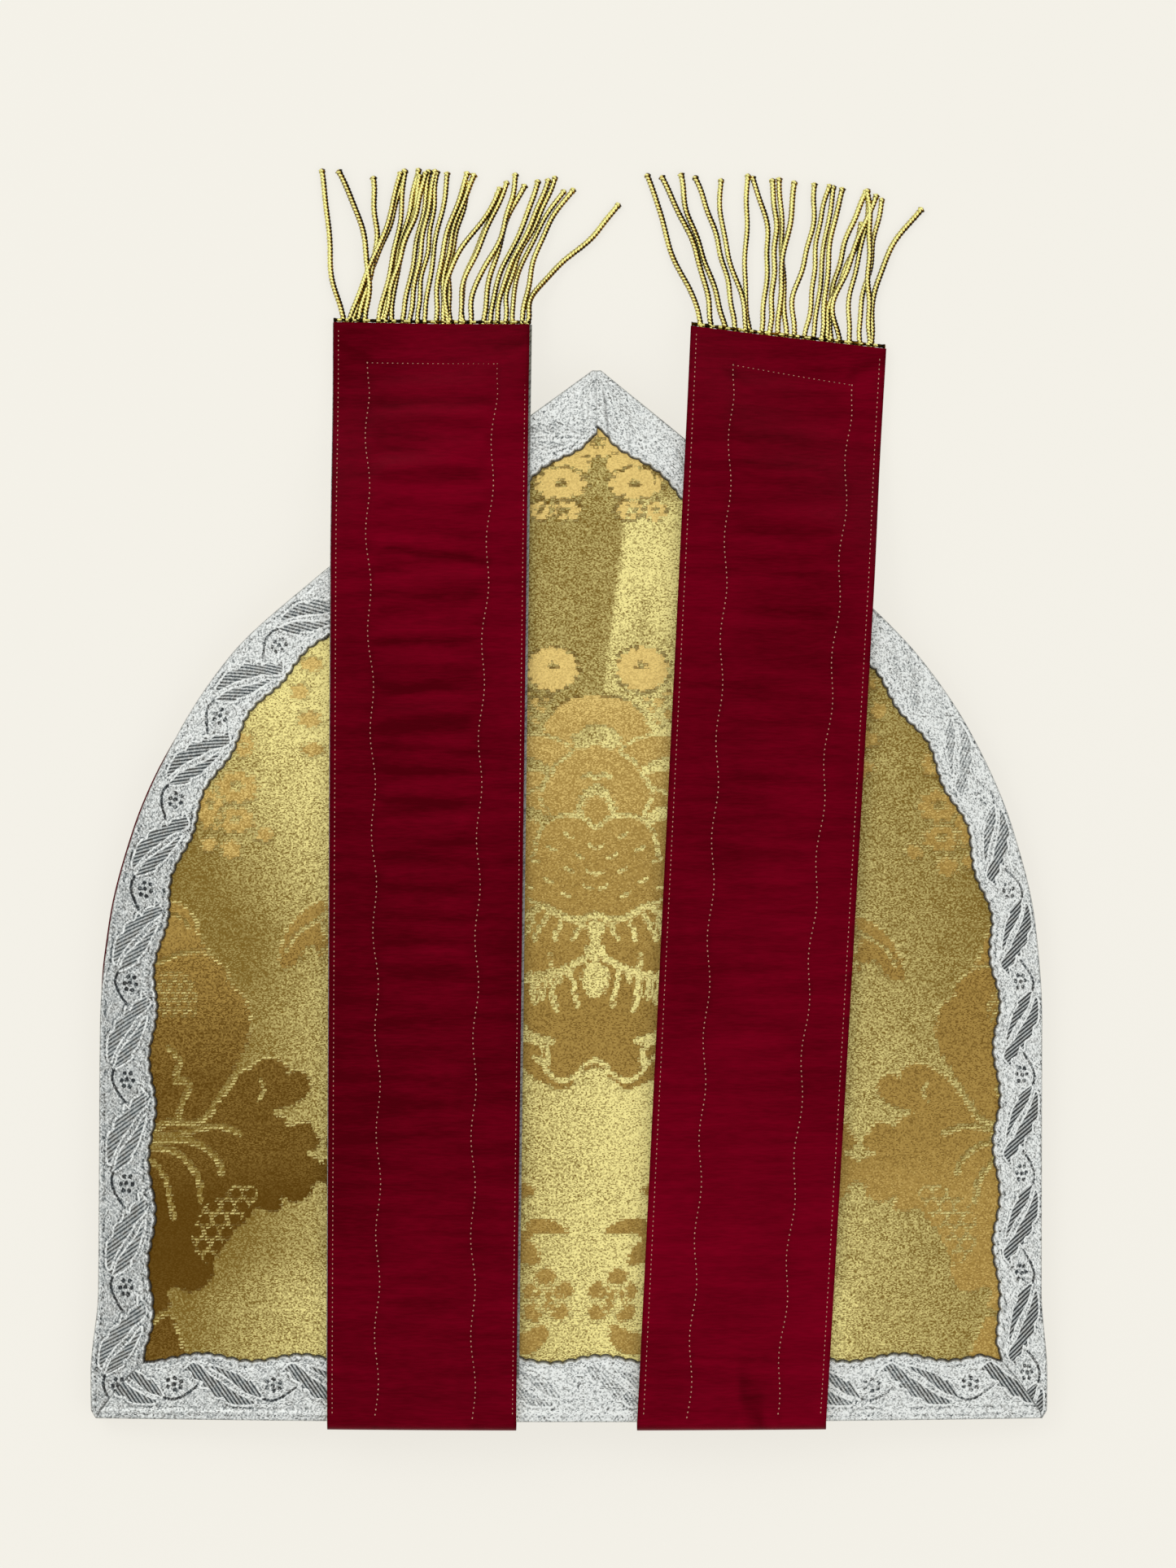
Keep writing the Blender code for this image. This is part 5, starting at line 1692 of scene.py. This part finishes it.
def add_stitches(side):
    """Rows of stitches on a lining: along its edges, down the galloon's inner edge and across its end."""
    sizes = bpy.context.scene.mitre_sizes
    rows = []
    for points in WAVY_LINES[side]:
        rows.append(("wavy", *(wavy_line(points, sizes.stitch_pitch / MM) * MM).T))
    for edge in (0, 1):
        y = np.arange(BRIM_Y + 0.003, lappet_end_y(side, edge) - 0.002, sizes.edge_stitch_pitch)
        x = lappet_x(side, edge, lappet_share(side, edge, y)) + (1 - 2 * edge) * EDGE_LINE_IN * MM
        rows.append(("edge", x, y))
    left, right = (points[0] for points in WAVY_LINES[side])
    x = np.arange(left[0], right[0], sizes.stitch_pitch / MM) * MM
    share = (x / MM - left[0]) / (right[0] - left[0])
    rows.append(("end", x, blend(left[1], right[1], share) * MM))
    parts = []
    for kind, x, y in rows:
        lift, length, swell = STITCHES[kind]
        z = lining_top(side, x, y) + lift
        parts.append(stitch_row(np.column_stack([x, y, z]), length, STITCH_RADIUS * swell))
    return add_piece(f"lappet_{side}_stitches", parts, "crimson_lining", [], crease=0, finish="thread")


# === Fringe ===

# Each strand's X at its root, quarters and tip, and its tip's Y, in millimetres.
STRANDS = {
    "left": (
        (-71.2, -74.8, -76.1, -76.9, -78.8, 383.6), (-64.9, -63.6, -64.7, -67.8, -73.6, 383.2),
        (-67.1, -64.1, -61.3, -61.7, -62.4, 381.3), (-69, -65, -59.5, -55.3, -52.2, 383.6),
        (-70, -65.7, -60.4, -56.4, -53.6, 382.7), (-60.8, -58, -55.2, -53.3, -52.3, 383.4),
        (-59.9, -56.6, -54, -50.5, -48, 383.8), (-58.8, -56.2, -52.7, -48.4, -45.8, 382.7),
        (-56.5, -55.6, -52.7, -49.3, -47.3, 382), (-53.2, -51, -48.7, -46.3, -44.4, 383.4),
        (-50.9, -49, -47, -44.8, -42.6, 383.4), (-48.3, -47.3, -44.9, -43.3, -42.1, 383.1),
        (-46.2, -44.7, -43, -40.5, -38.6, 382.7), (-42.3, -41.8, -40, -36.3, -32.1, 382.7),
        (-40, -40.1, -38.3, -35.1, -29.9, 382.1), (-37.9, -38.5, -37.5, -34.6, -31.7, 379.8),
        (-38.6, -39.3, -35.9, -27.6, -22, 377.8), (-34.6, -34.1, -29.7, -24.5, -19.8, 379.8),
        (-33.9, -34.2, -31, -26.3, -22.7, 376.2), (-31.4, -30.2, -23.5, -19.5, -17, 382.3),
        (-27.4, -26.1, -23.3, -19.9, -14.4, 378.7), (-25.3, -23.7, -19.1, -13.7, -10.3, 380.2),
        (-23.1, -21.5, -16.7, -11.1, -6.9, 380.5), (-20.4, -19.6, -15.5, -9.3, -4.7, 381.3),
        (-18.3, -17.9, -14.4, -9.1, -1.8, 376.9), (-15.3, -13.6, -11.1, -6.6, 1.1, 377.3),
        (-13.4, -11.7, -3.1, 7.8, 15.3, 372.6),
    ),
    "right": (
        (41.3, 37.6, 31.3, 28.5, 23.7, 382.1), (44.4, 42.7, 39.5, 34.4, 28.3, 381.4),
        (49.1, 45.5, 41.3, 36.8, 34.6, 382.3), (51.9, 50.2, 47.4, 43.8, 39, 381.4),
        (55.5, 53.7, 49.7, 47.4, 47.4, 380.5), (56.6, 55, 55.2, 55.6, 55.8, 382),
        (60.2, 61.3, 62.2, 61.4, 57, 381.3), (62.8, 63.6, 64.3, 64.7, 63.3, 380.5),
        (65.3, 66.1, 67, 69.3, 70.9, 379.8), (68.2, 67.3, 66.8, 66.4, 65.9, 380.9),
        (70.7, 70.1, 73.8, 76.5, 77, 379.2), (73.6, 76, 77, 78.5, 81.9, 378.7),
        (76.5, 78.1, 79.4, 81.1, 83.3, 378.4), (79.3, 80.2, 81.2, 82.8, 86.2, 377.7),
        (81.1, 81.1, 85, 89.2, 92.3, 366.8), (82.2, 81.9, 84.6, 88.3, 93.8, 376.9),
        (85.1, 82.8, 87.3, 91.8, 96.7, 375.6), (88, 87.7, 89.7, 92.6, 94.1, 374.1),
        (91.2, 91.4, 94.2, 96, 98.5, 374.4), (94.5, 94, 93.9, 94.4, 93.8, 377.3),
        (94.9, 95.1, 97.2, 102.3, 110.9, 371.2),
    ),
}
STRAND_RINGS = 190
STRAND_SIDES = 8
# Shares of a strand's length by which it has spread into its layer, and has fallen to the surface.
STRAND_SPREAD = 0.12
STRAND_FALL = 0.55
STRAND_ROOT_LIFT = 0.0013
STRAND_CLEARANCE = 0.0001
STRAND_SWAY = 0.00025
# Direction of the light painted onto the strands.
STRAND_SHEEN_FROM = np.array([-0.44, 0.14, 0.89])
KNOB_LENGTH = 0.0016
# The heading: points round its section, half depth and half height, and how far out and up it lies.
HEADING_SIDES = 10
HEADING_RADII = (0.0006, 0.00125)
HEADING_OUT = 0.0005
HEADING_LIFT = 0.0014


def strand_rings(side):
    """Two-ply strands: an eight-point waisted section that turns as it is carried along each path.

    A path runs from the heading through its quarter points, and falls to the surface by a little
    over half its length. The strands lie in three layers by turns, so that crossing ones clear.
    """
    sizes = bpy.context.scene.mitre_sizes
    radius = sizes.strand_radius
    table = np.array(STRANDS[side]) * MM
    t = np.linspace(0, 1, STRAND_RINGS)
    quarters = np.linspace(0, 1, 5)
    x = np.stack([rounded(np.column_stack([quarters, row[:5]]), False, 16)[:, 1] for row in table])
    x = np.stack([np.interp(t, np.linspace(0, 1, row.size), row) for row in x])
    root_x = table[:, 0]
    root_y = lappet_end_y(side, (root_x - LAPPETS[side]["end"][0]) / lappet_end_width(side)) + GAP - 0.0002
    y = blend(root_y[:, None], table[:, 5:], t)
    order = np.arange(len(table))[:, None]
    layer = order * 2 % 3
    spread = smooth(t / STRAND_SPREAD)
    rest = radius + STRAND_CLEARANCE + layer * radius * 1.35 * (1 - 0.8 * smooth((t - 0.5) / 0.45))
    z = (lappet_base_z(root_x, root_y) + GAP + STRAND_ROOT_LIFT)[:, None] + layer * 0.0004 * spread
    z = blend(z, rest, smooth(t / STRAND_FALL))
    sway = STRAND_SWAY * np.sin(2 * np.pi * (t * (2.3 + 0.37 * (order % 4)) + order * 0.7))
    path = np.stack([x + sway * spread, y, z], axis=-1)
    tangent = np.gradient(path, axis=1)
    step = np.linalg.norm(tangent, axis=2)
    run = np.cumsum(step, axis=1)
    tangent /= step[..., None]
    side_way = np.cross(tangent, [0.0, 0.0, 1.0])
    side_way /= np.linalg.norm(side_way, axis=2)[..., None]
    up = np.cross(side_way, tangent)
    angle = np.linspace(0, 2 * np.pi, STRAND_SIDES, endpoint=False)
    ply = 0.76 + 0.24 * np.abs(np.cos(angle)) ** 1.4
    left = (run[:, -1:] - run) / KNOB_LENGTH
    knob = (1 + 0.28 * bump(left - 0.45, 0.35)) * np.sqrt(np.clip(left * 3.0, 0.05, 1.0))
    knob = knob * (1 + 0.05 * np.sin(order))
    path[..., 2] += radius * np.maximum(knob - 1, 0)
    spin = angle + (2 * np.pi * run / sizes.strand_twist + order)[..., None]
    outward = np.cos(spin)[..., None] * side_way[:, :, None, :] + np.sin(spin)[..., None] * up[:, :, None, :]
    rings = path[:, :, None, :] + (radius * knob[..., None] * ply)[..., None] * outward
    # Painted light: how squarely each point faces the light, and shade on strands leaning across it.
    facing_painted_light = outward @ STRAND_SHEEN_FROM
    ridge = (ply - ply.min()) / (ply.max() - ply.min())
    away = np.clip(-1.6 * tangent[..., 0] - 0.12, 0, 0.42)[..., None]
    return rings, np.stack(np.broadcast_arrays(ridge, facing_painted_light, away), axis=-1)


def heading_rings(side):
    """The heading that holds the strands: an oval cord along the lappet's end, ribbed by its lashing."""
    share = np.linspace(0.004, 0.996, 260)[:, None]
    x = LAPPETS[side]["end"][0] + lappet_end_width(side) * share
    y = lappet_end_y(side, share) + GAP + HEADING_OUT
    z = lappet_base_z(x, y) + GAP + HEADING_LIFT
    angle = np.linspace(0, 2 * np.pi, HEADING_SIDES, endpoint=False)
    ribs = 1 + 0.10 * np.sin(2 * np.pi * x / 0.0017) + 0.12 * np.sin(2 * np.pi * x / 0.0047 + 1.0)
    deep, high = (radius * ribs for radius in HEADING_RADII)
    rings = grid_of(x, y + deep * np.cos(angle), z + high * np.sin(angle))
    bits = smooth((np.sin(2 * np.pi * x / 0.0031 + 1.6 * np.sin(2 * np.pi * x / 0.0117)) - 0.1) / 0.5)
    # Painted light: the upper side of each bit is lighter.
    facing_painted_light = 0.72 + 0.24 * bits * np.sin(angle)
    return rings[None], grid_of(bits, facing_painted_light, 0)[None]


def add_fringe(side):
    """Bullion fringe: all strands of a lappet and their heading."""
    parts = [tubes(rings, {"ply": ply}) for rings, ply in (strand_rings(side), heading_rings(side))]
    return add_piece(f"lappet_{side}_bullion", parts, "gold_bullion", [f"lappet_{side}_fringe"], crease=0)


# === Stage ===

VIEW_MIDDLE = (0.0055, 0.1893)
SENSOR_HEIGHT = 24.0
FLOOR_HALF = 4.0
# Area lights: name, place, size and share of the key's power.
LIGHTS = (
    ("key", -0.9, 1.0, 1.7, 0.9, 1.0),
    ("fill", 1.2, -0.4, 1.9, 1.6, 0.5),
)
FLOOR_GLOW = 0.80
SKY_LOW = -0.05
SKY_HIGH = 0.75
SKY_SIDE_SHARE = 0.22


def add_floor():
    """A plain pale surface under the mitre. Most of its light is its own, as on a light table."""
    corners = [(x * FLOOR_HALF, y * FLOOR_HALF, 0) for x, y in ((-1, -1), (1, -1), (1, 1), (-1, 1))]
    mesh = bpy.data.meshes.new("floor")
    mesh.from_pydata(corners, [], [(0, 1, 2, 3)])
    paper = Finish("pale_floor", 0.9, 0.0, 0.0)
    pale = tuple(bpy.context.scene.mitre_colours.floor)
    paper.shader.inputs["Emission Color"].default_value = (*pale, 1.0)
    paper.shader.inputs["Emission Strength"].default_value = FLOOR_GLOW
    mesh.materials.append(paper.finish(tuple(v * (1 - FLOOR_GLOW) for v in pale)))
    floor = bpy.data.objects.new("floor", mesh)
    bpy.context.scene.collection.objects.link(floor)


def add_camera():
    """A long lens straight above, with the brim at the picture's foot."""
    stage = bpy.context.scene.mitre_stage
    lens = bpy.data.cameras.new("camera")
    lens.sensor_fit = "VERTICAL"
    lens.sensor_height = SENSOR_HEIGHT
    lens.lens = SENSOR_HEIGHT * stage.camera_height / stage.view_height
    lens.clip_start = 0.05
    lens.clip_end = 50.0
    camera = bpy.data.objects.new("camera", lens)
    camera.location = (*VIEW_MIDDLE, stage.camera_height)
    bpy.context.scene.collection.objects.link(camera)
    bpy.context.scene.camera = camera


def add_lights():
    """Soft panels that face the mitre, and an even light that is strongest overhead."""
    stage = bpy.context.scene.mitre_stage
    for name, x, y, z, size, share in LIGHTS:
        lamp = bpy.data.lights.new(name, "AREA")
        lamp.size = size
        lamp.energy = stage.key_power * share
        panel = bpy.data.objects.new(name, lamp)
        panel.location = (x, y, z)
        away = np.array([x - VIEW_MIDDLE[0], y - VIEW_MIDDLE[1], z])
        flat = math.hypot(away[0], away[1])
        panel.rotation_euler = (math.atan2(flat, away[2]), 0.0, math.atan2(away[0], -away[1]))
        bpy.context.scene.collection.objects.link(panel)
    world = bpy.data.worlds.new("studio")
    world.use_nodes = True
    tree = world.node_tree
    sky = tree.nodes["Background"]
    sky.inputs["Color"].default_value = (1.0, 1.0, 1.0, 1.0)
    kinds = ("TexCoord", "SeparateXYZ", "MapRange")
    place, split, fade = (tree.nodes.new("ShaderNode" + kind) for kind in kinds)
    fade.interpolation_type = "SMOOTHSTEP"
    limits = {"From Min": SKY_LOW, "From Max": SKY_HIGH, "To Min": SKY_SIDE_SHARE * stage.ambient,
              "To Max": stage.ambient}
    for name, value in limits.items():
        fade.inputs[name].default_value = value
    tree.links.new(place.outputs["Generated"], split.inputs[0])
    tree.links.new(split.outputs["Z"], fade.inputs["Value"])
    tree.links.new(fade.outputs["Result"], sky.inputs["Strength"])
    bpy.context.scene.world = world


# === Operators ===

# Flat sizes of the sheets, in metres, worked out from the outlines.
GUSSET_FOLD_WIDTH = 0.296
GUSSET_FOLD_LENGTH = 0.012


class MITRE_OT_stage(bpy.types.Operator):
    """Adds the floor, the studio light and the camera"""
    bl_idname = "mitre.stage"
    bl_label = "Stage"

    def execute(self, context):
        add_camera()
        add_floor()
        add_lights()
        context.scene.view_settings.view_transform = "Standard"
        return {"FINISHED"}


class MITRE_OT_horns(bpy.types.Operator):
    """Adds the damask panels of both horns"""
    bl_idname = "mitre.horns"
    bl_label = "Damask horns"

    def execute(self, context):
        for horn in ("back", "front"):
            piece, area = add_panel(horn)
        return {"FINISHED"}


class MITRE_OT_linings(bpy.types.Operator):
    """Adds the linings of the head opening and the cloth between the horns"""
    bl_idname = "mitre.linings"
    bl_label = "Head linings and gusset"

    def execute(self, context):
        for horn in ("back", "front"):
            piece, area = add_head_lining(horn)
        climb = np.linspace(FOLD_HEIGHT, PEAK_HEIGHT, 60)
        area = 2 * outline_area(climb) + GUSSET_FOLD_WIDTH * GUSSET_FOLD_LENGTH
        add_gusset()
        return {"FINISHED"}


class MITRE_OT_galloon(bpy.types.Operator):
    """Adds the silver galloon round both horns"""
    bl_idname = "mitre.galloon"
    bl_label = "Galloon round the horns"

    def execute(self, context):
        for horn in ("back", "front"):
            for side, width in BORDER_WIDTH.items():
                add_strip(horn, side)
        return {"FINISHED"}


class MITRE_OT_lappets(bpy.types.Operator):
    """Adds the lappets: damask face, galloon, crimson lining and stitches"""
    bl_idname = "mitre.lappets"
    bl_label = "Lappets"

    def execute(self, context):
        for side in LAPPETS:
            flat = lappet_flat(side)
            area = flat[0] * flat[1]
            face, lining, galloon = add_face(side), add_lining(side), add_lappet_galloon(side)
            add_stitches(side)
        return {"FINISHED"}


class MITRE_OT_fringe(bpy.types.Operator):
    """Adds the bullion fringe of both lappets"""
    bl_idname = "mitre.fringe"
    bl_label = "Bullion fringe"

    def execute(self, context):
        for side in LAPPETS:
            add_fringe(side)
        return {"FINISHED"}


PIECE_OPERATORS = (MITRE_OT_stage, MITRE_OT_horns, MITRE_OT_linings, MITRE_OT_galloon, MITRE_OT_lappets,
                   MITRE_OT_fringe)


class MITRE_PT_panel(bpy.types.Panel):
    """Lists the mitre's pieces and what can be changed"""
    bl_idname = "MITRE_PT_panel"
    bl_label = "Bishop mitre"
    bl_space_type = "VIEW_3D"
    bl_region_type = "UI"
    bl_category = "Mitre"

    def draw(self, context):
        layout = self.layout
        for operator in PIECE_OPERATORS:
            layout.operator(operator.bl_idname)
        for group in (context.scene.mitre_colours, context.scene.mitre_sizes, context.scene.mitre_stage):
            box = layout.box()
            for name in group.bl_rna.properties.keys():
                if name not in {"rna_type", "name"}:
                    box.prop(group, name)


GROUPS = {"mitre_colours": MitreColours, "mitre_sizes": MitreSizes, "mitre_stage": MitreStage}
CLASSES = (*GROUPS.values(), *PIECE_OPERATORS, MITRE_PT_panel)


def register():
    for item in CLASSES:
        bpy.utils.register_class(item)
    for name, group in GROUPS.items():
        setattr(bpy.types.Scene, name, bpy.props.PointerProperty(type=group))


def unregister():
    for name in GROUPS:
        delattr(bpy.types.Scene, name)
    for item in reversed(CLASSES):
        bpy.utils.unregister_class(item)


def main():
    register()
    bpy.ops.mitre.stage()
    bpy.ops.mitre.horns()
    bpy.ops.mitre.linings()
    bpy.ops.mitre.galloon()
    bpy.ops.mitre.lappets()
    bpy.ops.mitre.fringe()


if __name__ == "__main__":
    main()
